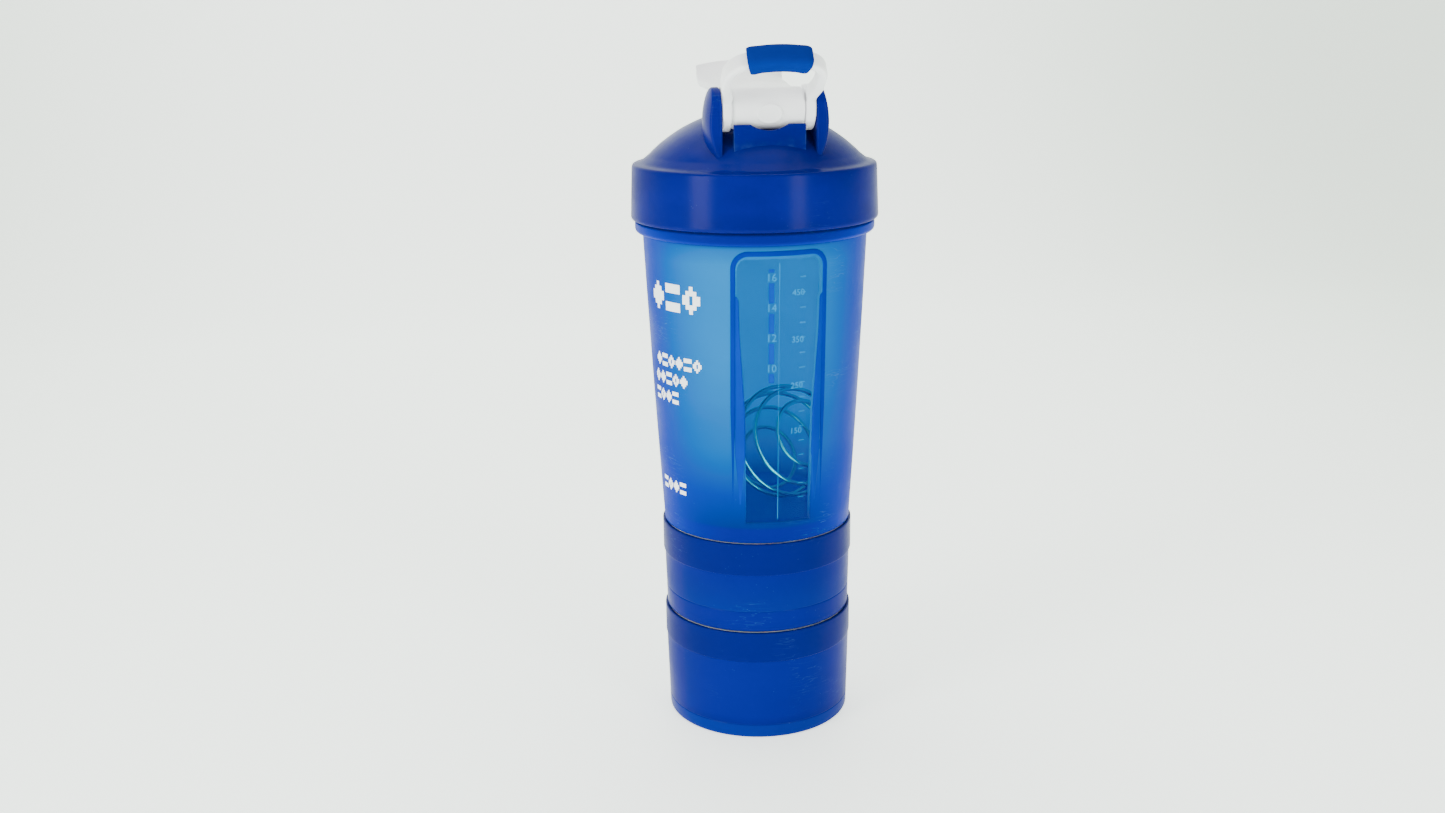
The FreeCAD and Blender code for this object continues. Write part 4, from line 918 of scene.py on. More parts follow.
# ====================================================================== cup
@dataclass
class Cup:
    """The tapered cup with its clear window, frame, printed scale and threads.

    Bearings are from the hinge side, -Y, towards +X.

    Attributes:
        base: Radius at the bottom edge.
        middle: Radius at its middle level.
        middle_level: That level.
        top: Radius under the flange.
        wall: Thickness.
        flange: Radius of the flange.
        mouth: Radius outside the threaded mouth.
        neck: Radius outside the threaded neck below.
        flange_low: Level of the flange's underside.
        floor: Level of the floor inside.
        window_bearing: Middle of the window.
        window_top: Level of the clear panel's top.
        window_low: Level of its bottom.
        upper_half: Half the clear panel's width at the top.
        panel_levels: Levels where its width between the bands is given.
        panel_halves: Half that width at each of them.
        band_top: Level where the bands begin.
        frame_half: Half the frame's width.
        frame_low: Level where the frame fades out.
    """
    base: float = 37.1
    middle: float = 40.3
    middle_level: float = 137.492
    top: float = 43.2
    wall: float = 2.2
    flange: float = 46.1
    mouth: float = 42.4
    neck: float = 34.15
    flange_low: float = 197.5
    floor: float = 88.1
    window_bearing: float = math.radians(2.9)
    window_top: float = 193.0
    window_low: float = 90.0
    upper_half: float = 16.6
    panel_levels: tuple[float, ...] = (100, 135, 165, 178)
    panel_halves: tuple[float, ...] = (12.9, 13.4, 15.5, 15.8)
    band_top: float = 178.0
    frame_half: float = 17.75
    frame_low: float = 96.0
    columns: int = 288
    circle: tuple[float, float, float] = field(init=False)

    def __post_init__(self) -> None:
        """Finds the circle that the wall's outline lies on: its centre and radius."""
        low = level("cup")[0] + NECK_LENGTH
        centre, size = circle_through((self.base, low), (self.middle, self.middle_level),
                                      (self.top, self.flange_low))
        self.circle = (float(centre[0]), float(centre[1]), size)

    def radius(self, height: np.ndarray) -> np.ndarray:
        """Radius of the outer wall at a level: on the circle, centre plus or minus a root."""
        across, up, size = self.circle
        root = np.sqrt(size ** 2 - (np.asarray(height) - up) ** 2)
        return across + math.copysign(1, self.middle - across) * root

    def clear_half(self, height: np.ndarray) -> np.ndarray:
        """Half the clear panel's width at a level, with rounded upper corners."""
        step = np.clip((height - self.band_top + 0.5) / 1.0, 0, 1)
        lower = np.interp(height, self.panel_levels, self.panel_halves)
        half = lower + (self.upper_half - lower) * step
        corner = 5.0
        into = np.clip(height - (self.window_top - corner), 0, corner)
        return half - corner + np.sqrt(corner ** 2 - into ** 2)

    def on_wall(self, along: np.ndarray, height: np.ndarray, lift: float | np.ndarray,
                bearing: float | None = None) -> np.ndarray:
        """Points on the wall.

        Args:
            along: Distance round the wall from a bearing, in millimetres.
            height: Level.
            lift: Height off the wall.
            bearing: Where along is nought; the window's middle if not given.

        Returns:
            Array with x, y, z last.
        """
        reach = self.radius(height)
        turn = (self.window_bearing if bearing is None else bearing) + along / reach
        return np.stack(np.broadcast_arrays((reach + lift) * np.sin(turn),
                                            -(reach + lift) * np.cos(turn), height), -1)

    def outward(self, points: np.ndarray) -> np.ndarray:
        """Level directions away from the axis."""
        flat = points * (1.0, 1.0, 0.0)
        return flat / np.linalg.norm(flat, axis=-1, keepdims=True)

    def shell(self) -> bpy.types.Object:
        """The cup's wall, floor, flange, mouth and neck in one closed skin.

        The columns close to the window are drawn together or apart at each level so that
        two of them run exactly along the clear panel's edges.
        """
        foot, rim = level("cup")
        low, neck = foot + NECK_LENGTH, self.neck
        outside = arc_line((self.base, low), (self.middle, self.middle_level),
                           (self.top, self.flange_low), 116)
        inside = arc_line((self.mouth - 2.0, self.flange_low),
                          (self.middle - self.wall, self.middle_level),
                          (self.base - self.wall, self.floor), 110)
        under = rounded_outline([(0, low + 4), (neck - 2, low + 4), (neck - 2, foot),
                                 (neck, foot), (neck, low), (self.base, low)],
                                [0, 0.6, 0.4, 0.4, 0.3, 0], 4)
        head = rounded_outline([tuple(outside[-1]), (self.flange, self.flange_low),
                                (self.flange, self.flange_low + 4),
                                (self.mouth, self.flange_low + 4), (self.mouth, rim),
                                (self.mouth - 2, rim), tuple(inside[0])],
                               [0, 1.6, 0.5, 0.4, 0.6, 0.6, 0], 6)
        base_edge = rounded_outline([(self.base - 1.5, low), (self.base, low),
                                     tuple(outside[1])], [0, 0.35, 0], 4)[1:-1]
        floor = rounded_outline([tuple(inside[-2]), tuple(inside[-1]), (0, self.floor)],
                                [0, 0.9, 0], 5)[1:]
        profile = np.concatenate([finely(under[:-1], 2.5), base_edge, outside[1:-1],
                                  finely(head, 2.0)[:-1], inside[:-1],
                                  finely(floor, 3.0)])
        even = np.arange(self.columns) * FULL_TURN / self.columns - math.pi
        edge = even[self.columns // 2 + 15]
        reach = math.radians(60)
        height = np.clip(profile[:, 1], low, self.flange_low)[:, None]
        angle = self.clear_half(height) / self.radius(height)
        size = np.abs(even)[None]
        near = size * angle / edge
        far = angle + (size - edge) * (reach - angle) / (reach - edge)
        moved = np.where(size <= edge, near, np.where(size < reach, far, size))
        turn = np.sign(even) * moved + self.window_bearing
        return grid_mesh("cup_shell", turned(profile, turn), False, True, True, True,
                         slots=self.which)

    def which(self, centre: np.ndarray) -> np.ndarray:
        """Material slot of each cell: 0 frosted, 1 clear, 2 the wall's inside."""
        reach = np.hypot(centre[:, 0], centre[:, 1])
        turn = np.arctan2(centre[:, 0], -centre[:, 1]) - self.window_bearing
        height = np.clip(centre[:, 2], 82.1, self.flange_low)
        outer = self.radius(height)
        wall = ((centre[:, 2] > self.window_low) & (centre[:, 2] < self.window_top)
                & (reach > 30))
        clear = wall & (np.abs(turn) < self.clear_half(height) / outer)
        inner = ((reach < outer - 0.5 * self.wall) & (centre[:, 2] > self.floor - 0.2)
                 & (centre[:, 2] < self.flange_low))
        return np.where(clear, 1, np.where(inner, 2, 0))

    def raised_line(self, name: str, along: np.ndarray, height: np.ndarray, width: float,
                    rise: float, fade: np.ndarray) -> bpy.types.Object:
        """A rounded ridge on the wall along a line of points, fading by a factor."""
        path = self.on_wall(along, height, 0.0)
        half = width / 2
        section = rounded_outline([(-half, -0.15), (half, -0.15), (half * 0.75, rise),
                                   (-half * 0.75, rise)], [0, 0, rise * 0.8, rise * 0.8],
                                  4, True)
        return sweep(name, path, self.outward(path), section, fade)

    def window_frame(self, plastics: Plastics) -> None:
        """The raised frame round the window and the two bands inside it."""
        half, top = self.frame_half, self.window_top + 1.5
        line = rounded_outline([(-half, self.frame_low), (-half, top), (half, top),
                                (half, self.frame_low)], [0, 5.6, 5.6, 0], 12)
        line = finely(line, 1.2)
        fade = np.clip((line[:, 1] - self.frame_low) / 40, 0.12, 1)
        made = self.raised_line("window_frame", line[:, 0], line[:, 1], 2.0, 0.36, fade)
        dress(made, "cup", "frosted_blue_plastic", [plastics.frame])
        parts = []
        height = np.linspace(self.band_top + 0.8, self.frame_low + 2, 70)
        fade = np.clip((height - self.frame_low) / 22, 0.15, 1)
        fade *= np.clip((self.band_top + 1.6 - height) / 1.6, 0.5, 1)
        inner = self.clear_half(height)
        centre = (inner + self.frame_half - 0.9) / 2
        width = self.frame_half - 0.4 - inner
        widest = float(width.max())
        for side in (-1, 1):
            parts.append(self.raised_line("frame_band_%d" % side, side * centre, height,
                                          widest, 0.24, fade * width / widest))
        made = joined("window_bands", parts)
        dress(made, "cup", "frosted_blue_plastic", [plastics.band])

    def patches(self, name: str, boxes: np.ndarray, bearing: float, lift: float,
                rise: float) -> bpy.types.Object:
        """Thin raised blocks on the wall.

        Args:
            name: The new object's name.
            boxes: Array (n, 4): from, to along the wall, lower and upper level.
            bearing: Where along is nought.
            lift: Underside off the wall.
            rise: Thickness.

        Returns:
            The linked object, one closed block a row.
        """
        steps = 4
        share = np.linspace(0, 1, steps + 1)
        along = boxes[:, :1] + (boxes[:, 1:2] - boxes[:, :1]) * share
        low, high = boxes[:, 2, None] + 0 * along, boxes[:, 3, None] + 0 * along
        rows = [self.on_wall(along, h, r, bearing) for h, r in
                ((low, lift), (high, lift), (high, lift + rise), (low, lift + rise))]
        points = np.stack(rows, 2)
        count = len(boxes)
        base = (np.arange(count) * (steps + 1) * 4)[:, None, None]
        here = np.arange(steps)[:, None] * 4 + np.arange(4)
        after = np.arange(steps)[:, None] * 4 + (np.arange(4) + 1) % 4
        around = np.stack([here, here + 4, after + 4, after], -1).reshape(-1, 4)
        ends = np.array([[0, 1, 2, 3], [steps * 4 + 3, steps * 4 + 2, steps * 4 + 1,
                                        steps * 4]])
        one = np.concatenate([around, ends])[None]
        faces = (one + base).reshape(-1, 4)
        mesh = bpy.data.meshes.new(name)
        mesh.from_pydata(points.reshape(-1, 3) * MM, [], faces[:, ::-1].tolist())
        return link(name, mesh)

    def print_rows(self, plastics: Plastics) -> None:
        """Printed rows of plain square-cell signs beside the window, none of them a letter.

        The signs are a diamond, |column - 2| + |row - middle| < reach, the same one hollow,
        and two level bars, |row - middle| > gap, in turn; a sign's filled cells in one row
        are drawn as single blocks.
        """
        # Each row: bearing of its right end, lower and upper level, number of signs.
        rows = ((-38.6, 170.9, 181.4, 3), (-39.4, 148.6, 153.6, 6), (-49.2, 141.6, 146.5, 5),
                (-56.8, 134.5, 139.3, 4), (-55.4, 98.0, 102.8, 4))
        wide, tall, squeeze, space = 5, 6, 0.92, 0.75
        reach, hole, gap = 2.8, 1.4, 0.8
        boxes = []
        for right, low, high, signs in rows:
            cell = (high - low) / tall
            end = math.radians(right) * float(self.radius((low + high) / 2))
            row, column = np.mgrid[0:tall, 0:wide]
            up = np.abs(row - (tall - 1) / 2)
            spread = np.abs(column - 2)
            diamond = spread + up < reach
            hollow = diamond & (spread + up > hole)
            bars = up > gap
            for k in range(signs):
                left = end - (k + 1) * wide * cell * squeeze - k * cell * space
                cells = (hollow, bars, diamond)[(k + tall + signs) % 3]
                for line, filled in enumerate(cells):
                    padded = np.concatenate([[0], filled.astype(int), [0]])
                    starts = np.flatnonzero(np.diff(padded) == 1)
                    stops = np.flatnonzero(np.diff(padded) == -1)
                    for a, b in zip(starts, stops):
                        boxes.append((left + a * cell * squeeze, left + b * cell * squeeze,
                                      low + line * cell, low + (line + 1) * cell))
        made = self.patches("cup_print", np.array(boxes), 0.0, 0.01, 0.08)
        dress(made, "cup", "frosted_blue_plastic", [plastics.print])

    def printed_scale(self, plastics: Plastics) -> None:
        """The volume scale on the window: bars, fine line and two columns of numbers."""
        ounces, millilitres = (185.6, 174.3, 163.0, 151.4), (179.7, 162.0, 144.4, 126.7)
        column, side = math.radians(-2.0), math.radians(11.8)
        half, clear, hair, lift = 1.05, 1.9, 0.12, 0.01
        bars = [(-half, half, 187.6, 188.9)]
        bars += [(-half, half, low + clear, high - clear)
                 for high, low in zip(ounces[:-1], ounces[1:])]
        bars.append((-half, half, 146.0, 149.5))
        made = self.patches("scale_bars", np.array(bars), column, lift, 0.07)
        dress(made, "cup", "frosted_blue_plastic", [plastics.scale])
        fine = [(-hair, hair, 92.0, 191.0)]
        fine += [(8.0, 10.2, z - hair, z + hair) for z in np.arange(100, 188, 5.7)]
        line_bearing = self.window_bearing - math.radians(0.9)
        made = self.patches("scale_lines", np.array(fine), line_bearing, lift, 0.05)
        dress(made, "cup", "frosted_blue_plastic", [plastics.digits])
        words = [(str(16 - 2 * k), column, z, 2.9) for k, z in enumerate(ounces)]
        words += [(str(450 - 100 * k), side, z, 2.3) for k, z in enumerate(millilitres)]
        parts = [self.number("scale_number_%d" % k, *word) for k, word in enumerate(words)]
        made = joined("scale_numbers", parts)
        dress(made, "cup", "frosted_blue_plastic", [plastics.digits])

    def number(self, name: str, words: str, bearing: float, height: float,
               size: float) -> bpy.types.Object:
        """A number as a thin solid bent round the wall, centred on a bearing and level."""
        figure_to_line, thickness, lift = 1.4, 0.04, 0.12
        line = bpy.data.curves.new(name, "FONT")
        line.body = words
        line.size = size * figure_to_line
        line.align_x, line.align_y = "CENTER", "CENTER"
        line.extrude = thickness
        line.resolution_u = 3
        flat = bpy.data.objects.new(name + "_flat", line)
        bpy.context.scene.collection.objects.link(flat)
        bpy.context.view_layer.update()
        mesh = bpy.data.meshes.new_from_object(
            flat.evaluated_get(bpy.context.evaluated_depsgraph_get()))
        bpy.data.objects.remove(flat)
        place = np.zeros(len(mesh.vertices) * 3, np.float32)
        mesh.vertices.foreach_get("co", place)
        place = place.reshape(-1, 3).astype(float)
        bent = self.on_wall(place[:, 0], height + place[:, 1], place[:, 2] + lift, bearing)
        mesh.vertices.foreach_set("co", (bent * MM).astype(np.float32).ravel())
        mesh.materials.clear()
        return link(name, mesh)

    def build(self, plastics: Plastics) -> None:
        """Makes the cup and everything moulded or printed on it."""
        low = level("cup")[0]
        shell = self.shell()
        for finish in (plastics.frosted, plastics.window, plastics.inside):
            shell.data.materials.append(finish)
        parts = [shell,
                 lid_thread("cup_mouth_thread", self.mouth, 1.5, self.flange_low + 6.8),
                 jar_thread("cup_neck_thread", self.neck, 1, low + THREAD_START)]
        made = joined("cup_look", parts)
        dress(made, "cup", "frosted_blue_plastic",
              [plastics.frosted, plastics.window, plastics.inside], "cup")
        self.window_frame(plastics)
        self.print_rows(plastics)
        self.printed_scale(plastics)


@dataclass
class Whisk:
    """The wire ball: a spiral over a sphere, its wire capped at both ends.

    Attributes:
        wire: Radius of the wire.
        turns: Turns of the spiral.
        pole: Angle from the sphere's pole where the spiral starts.
        tilt: Spiral axis away from level.
        swing: Spiral axis away from the Y axis.
    """
    wire: float = 0.8
    turns: float = 5.5
    pole: float = math.radians(24)
    tilt: float = math.radians(30)
    swing: float = math.radians(20)

    def build(self, plastics: Plastics) -> None:
        """Makes the wire.

        The path is R (sin p cos t, sin p sin t, cos p), with the polar angle p running
        evenly from pole to pole while t makes all its turns.
        """
        low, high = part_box("whisk_ball")
        centre = np.array((low + high) / 2) / MM
        centre[0] = 12.0
        share = np.linspace(0, 1, 460)
        polar = self.pole + (math.pi - 2 * self.pole) * share
        turn = FULL_TURN * self.turns * share
        outward = np.stack([np.sin(polar) * np.cos(turn), np.sin(polar) * np.sin(turn),
                            np.cos(polar)], -1)
        lean = Matrix.Rotation(math.pi / 2 - self.tilt, 3, "X")
        around = Matrix.Rotation(self.swing, 3, "Z")
        outward = outward @ np.array(around @ lean).T
        path = centre + outward * (23.0 - self.wire)
        ring = np.arange(14) * FULL_TURN / 14
        section = self.wire * np.stack([np.cos(ring), np.sin(ring)], -1)
        made = sweep("whisk_wire", path, outward, section)
        dress(made, "whisk", "steel_wire", [plastics.steel], "whisk_ball")


# ====================================================================== lid
@dataclass
class Hinge:
    """Where the flip cap and the carry loop turn.

    Attributes:
        y: The pivot's place along Y.
        z: Its level.
        inner: Half the gap between the ears.
        outer: Half the spread over the ears' edges.
        barrel: Radius of the cap's barrel.
        barrel_half: Half its length.
        stub: Radius of the lid's stubs.
    """
    y: float = -25.5
    z: float = 245.0
    inner: float = 17.2
    outer: float = 21.1
    barrel: float = 7.45
    barrel_half: float = 13.3
    stub: float = 3.0

    @property
    def pivot(self) -> tuple[float, float, float]:
        """The pivot's middle."""
        return 0.0, self.y, self.z


@dataclass
class Lid:
    """Skirt, flare and dome with ears, back wall, stubs and spout.

    Attributes:
        hinge: The pivot it carries.
        bore: Radius inside the skirt.
        band: Radius of the band's foot.
        band_top_radius: Radius at its upper edge.
        band_top: Level of that edge.
        dome_foot: Radius and level where the dome begins.
        dome_top: Level of its top.
        wall: Thickness.
        ceiling: Level of the ledge that presses on the seal.
        spout: Place of the spout's middle along Y.
        spout_radius: Its outer radius.
        spout_bore: Its inner radius.
        spout_top: Level of its lip.
        ear_behind: From the pivot back to the ears' rear edge.
        ear_crest: From the pivot up to the ears' top.
        bulge: How far an ear's outer face swells.
        bulge_radius: Radius of that swelling.
        thread_level: Level where the skirt's thread starts.
    """
    hinge: Hinge
    bore: float = 44.5
    band: float = 47.5
    band_top_radius: float = 46.8
    band_top: float = 222.8
    dome_foot: tuple[float, float] = (40.3, 226.4)
    dome_top: float = 243.3
    wall: float = 3.0
    ceiling: float = 219.4
    spout: float = 21.5
    spout_radius: float = 12.0
    spout_bore: float = 9.6
    spout_top: float = 251.2
    ear_behind: float = 8.1
    ear_crest: float = 7.8
    bulge: float = 1.9
    bulge_radius: float = 32.0
    thread_level: float = 207.05

    def dome(self, inset: float = 0.0) -> tuple[float, float]:
        """The dome circle's middle level and radius, drawn inwards by an inset."""
        radius, rise = self.dome_foot[0], self.dome_top - self.dome_foot[1]
        size = (radius ** 2 + rise ** 2) / (2 * rise)
        return self.dome_top - size, size - inset

    def dome_level(self, reach: np.ndarray, inset: float = 0.0) -> np.ndarray:
        """Level of the dome at a distance from the axis."""
        middle, size = self.dome(inset)
        return middle + np.sqrt(np.maximum(size ** 2 - reach ** 2, 0))

    def shell(self) -> bpy.types.Object:
        """Skirt and dome in one skin, pressed down under the barrel, open at the spout."""
        bottom = level("lid")[0]
        foot_radius, foot_level = self.dome_foot
        middle, size = self.dome()
        sweep_angle = math.asin(foot_radius / size)
        share = np.linspace(0, 1, 70)
        inner = size - self.wall
        in_dome = np.stack([inner * np.sin(sweep_angle * share),
                            middle + inner * np.cos(sweep_angle * share)], -1)
        skirt = rounded_outline(
            [tuple(in_dome[-1]), (in_dome[-1][0], self.ceiling), (self.bore, self.ceiling),
             (self.bore, bottom), (self.band - 0.2, bottom), (self.band, bottom + 1.2),
             (self.band_top_radius + 0.15, self.band_top - 5),
             (self.band_top_radius, self.band_top - 0.2)],
            [0, 1.0, 0.6, 0.5, 0.6, 0.9, 0, 0], 6)
        flare = rounded_outline(
            [(self.band_top_radius + 0.03, self.band_top - 1.6),
             (self.band_top_radius - 0.15, self.band_top + 0.35),
             (self.band_top_radius - 3.4, self.band_top + 1.15),
             (foot_radius, foot_level)], [0, 1.3, 4.0, 0], 10)
        out_dome = np.stack([size * np.sin(sweep_angle * (1 - share)),
                             middle + size * np.cos(sweep_angle * (1 - share))], -1)
        profile = np.concatenate([in_dome[:-1], finely(skirt[:-1], 1.2), finely(flare, 0.8),
                                  out_dome[1:]])
        turn = np.arange(256) * FULL_TURN / 256
        points = turned(profile, turn)
        outside = np.arange(len(profile)) >= len(profile) - len(out_dome) - 8
        x, y, z = (points[..., k] for k in range(3))
        pocket = 9.0
        back = np.abs(y - self.hinge.y)
        under = self.hinge.z - np.sqrt(np.maximum(pocket ** 2 - back ** 2, 0))
        press = (outside[:, None] & (back < pocket) & (np.abs(x) < self.hinge.inner)
                 & (z > under) & (y > self.hinge.y - self.ear_behind + 2))
        points[..., 2] = np.where(press, np.maximum(under, z - 2.6), z)
        return grid_mesh("lid_shell", points, False, True, True, True, drop=self.over_bore)

    def over_bore(self, centre: np.ndarray) -> np.ndarray:
        """Cells of the dome that lie over the spout's bore."""
        away = np.hypot(centre[:, 0], centre[:, 1] - self.spout)
        return (away < (self.spout_bore + self.spout_radius) / 2) & (centre[:, 2] > 226.5)

    def spout_tube(self) -> bpy.types.Object:
        """The spout: its foot follows the dome's outside and inside round the bore."""
        turn = np.arange(160) * FULL_TURN / 160
        lip = rounded_outline([(self.spout_radius, self.spout_top - 6),
                               (self.spout_radius, self.spout_top),
                               (self.spout_bore, self.spout_top),
                               (self.spout_bore, self.spout_top - 6)], [0, 0.9, 0.7, 0], 7)
        count = 14
        share = np.linspace(0, 1, count)[:, None]
        rows = []
        for radius, inset, side in ((self.spout_radius, 0.9, 0),
                                    (self.spout_bore, self.wall + 0.3, 1)):
            x = radius * np.sin(turn)
            y = self.spout - radius * np.cos(turn)
            foot = self.dome_level(np.hypot(x, y), inset)
            height = foot + (self.spout_top - 6 - foot) * (share if side == 0 else 1 - share)
            rows.append(np.stack(np.broadcast_arrays(x, y, height), -1))
        middle = turned(lip, turn, (0.0, self.spout))
        points = np.concatenate([rows[0][:-1], middle, rows[1][1:]])
        return grid_mesh("lid_spout", points, True, True)

    def ear(self, side: int) -> bpy.types.Object:
        """One ear: flat inside, swollen outside, round over the pivot.

        Rings of its outline, drawn towards a middle point, run from the middle of the
        inner face over the rounded edge to the middle of the outer face; the outer face's
        x is the sphere's at each (y, z).
        """
        y, z = self.hinge.y, self.hinge.z
        rear = y - self.ear_behind
        angle = math.radians(35)
        end = (y + self.ear_crest * math.cos(angle), z + self.ear_crest * math.sin(angle))
        crown = arc_line((rear, z + 0.5), (y - 0.6, z + self.ear_crest), end, 26)
        rest = rounded_outline([end, (y + 13.5, z - 6.5), (y + 13.5, z - 17.5),
                                (rear, z - 17.5), (rear, z + 0.5)], [0, 5.0, 0.5, 0.5, 0], 8)
        outline = np.concatenate([crown[:-1], finely(rest, 0.9)[:-1]])
        middle = np.array([y + 1.5, z - 5.5])
        ahead = np.roll(outline, -1, 0) - np.roll(outline, 1, 0)
        normal = np.stack([ahead[:, 1], -ahead[:, 0]], -1)
        normal /= np.linalg.norm(normal, axis=1, keepdims=True)
        normal *= np.sign(((outline - middle) * normal).sum(1, keepdims=True))
        rings, depth, share = [], [], []
        edge = 0.8
        turn = np.linspace(0, math.pi / 2, 7)
        for scale in (0.0, 0.3, 0.6, 0.85):
            rings.append(middle + (outline - normal * edge - middle) * scale)
            depth.append(0.0)
            share.append(0.0)
        for a in turn:
            rings.append(outline - normal * edge * (1 - math.sin(a)))
            depth.append(edge * (1 - math.cos(a)))
            share.append(0.0)
        for a in turn[::-1]:
            rings.append(outline - normal * edge * (1 - math.sin(a)))
            depth.append(-edge * (1 - math.cos(a)))
            share.append(1.0)
        for scale in (0.9, 0.75, 0.6, 0.45, 0.3, 0.15, 0.0):
            rings.append(middle + (outline - normal * edge - middle) * scale)
            depth.append(0.0)
            share.append(1.0)
        flat = np.stack(rings)
        away = (flat[..., 0] - (y + 1.5)) ** 2 + (flat[..., 1] - (z - 5.0)) ** 2
        ball = self.hinge.outer + self.bulge - self.bulge_radius
        outer = ball + np.sqrt(self.bulge_radius ** 2 - away)
        share_of, depth_of = np.array(share)[:, None], np.array(depth)[:, None]
        x = self.hinge.inner + (outer - self.hinge.inner) * share_of + depth_of
        points = np.concatenate([(side * x)[..., None], flat], -1)
        return grid_mesh("lid_ear_%d" % side, points, False, True, True, True)

    def back_wall(self) -> bpy.types.Object:
        """The wall behind the barrel, its top dipped along a circle in the middle."""
        thick = 2.0
        reach = self.hinge.barrel_half - 0.2
        drop = math.sqrt(self.hinge.barrel ** 2 - (self.ear_behind - thick) ** 2)
        top = self.hinge.z - drop - 1.0
        dip, dip_half = 2.2, 7.0
        dip_radius = (dip_half ** 2 + dip ** 2) / (2 * dip)
        x = np.linspace(-reach, reach, 90)
        inside = np.sqrt(np.maximum(dip_radius ** 2 - x ** 2, 0))
        sunk = np.where(np.abs(x) < dip_half, inside - (dip_radius - dip), 0.0)
        low = self.hinge.z - 17.5
        round_top = rounded_outline([(thick / 2, -9), (thick / 2, 0), (-thick / 2, 0),
                                     (-thick / 2, -9)], [0, 0.7, 0.7, 0], 6)
        height = (top - sunk)[:, None] + round_top[:, 1]
        height[:, 0] = low
        height[:, -1] = low
        y = self.hinge.y - self.ear_behind + thick / 2 + round_top[:, 0] + 0 * height
        points = np.stack(np.broadcast_arrays(x[:, None], y, height), -1)
        return grid_mesh("lid_back_wall", capped(points), False, True, True, True)

    def build(self, plastics: Plastics) -> None:
        """Makes the lid in one piece."""
        stub = self.hinge.stub
        parts = [self.shell(), self.spout_tube(), self.back_wall(), self.ear(-1),
                 self.ear(1)]
        for side in (-1, 1):
            near, far = self.hinge.barrel_half - 3.6, self.hinge.outer - 0.8
            outline = rounded_outline([(0, far), (stub, far), (stub, near), (0, near)],
                                      [0, 0.1, 0.5, 0], 4)
            outline[:, 1] *= side
            parts.append(along_x("lid_stub_%d" % side, outline, self.hinge.pivot, 64))
        parts.append(lid_thread("lid_thread", self.bore, -1.7, self.thread_level))
        made = joined("lid_look", parts)
        dress(made, "lid", "deep_blue_plastic", [plastics.lid], "lid")


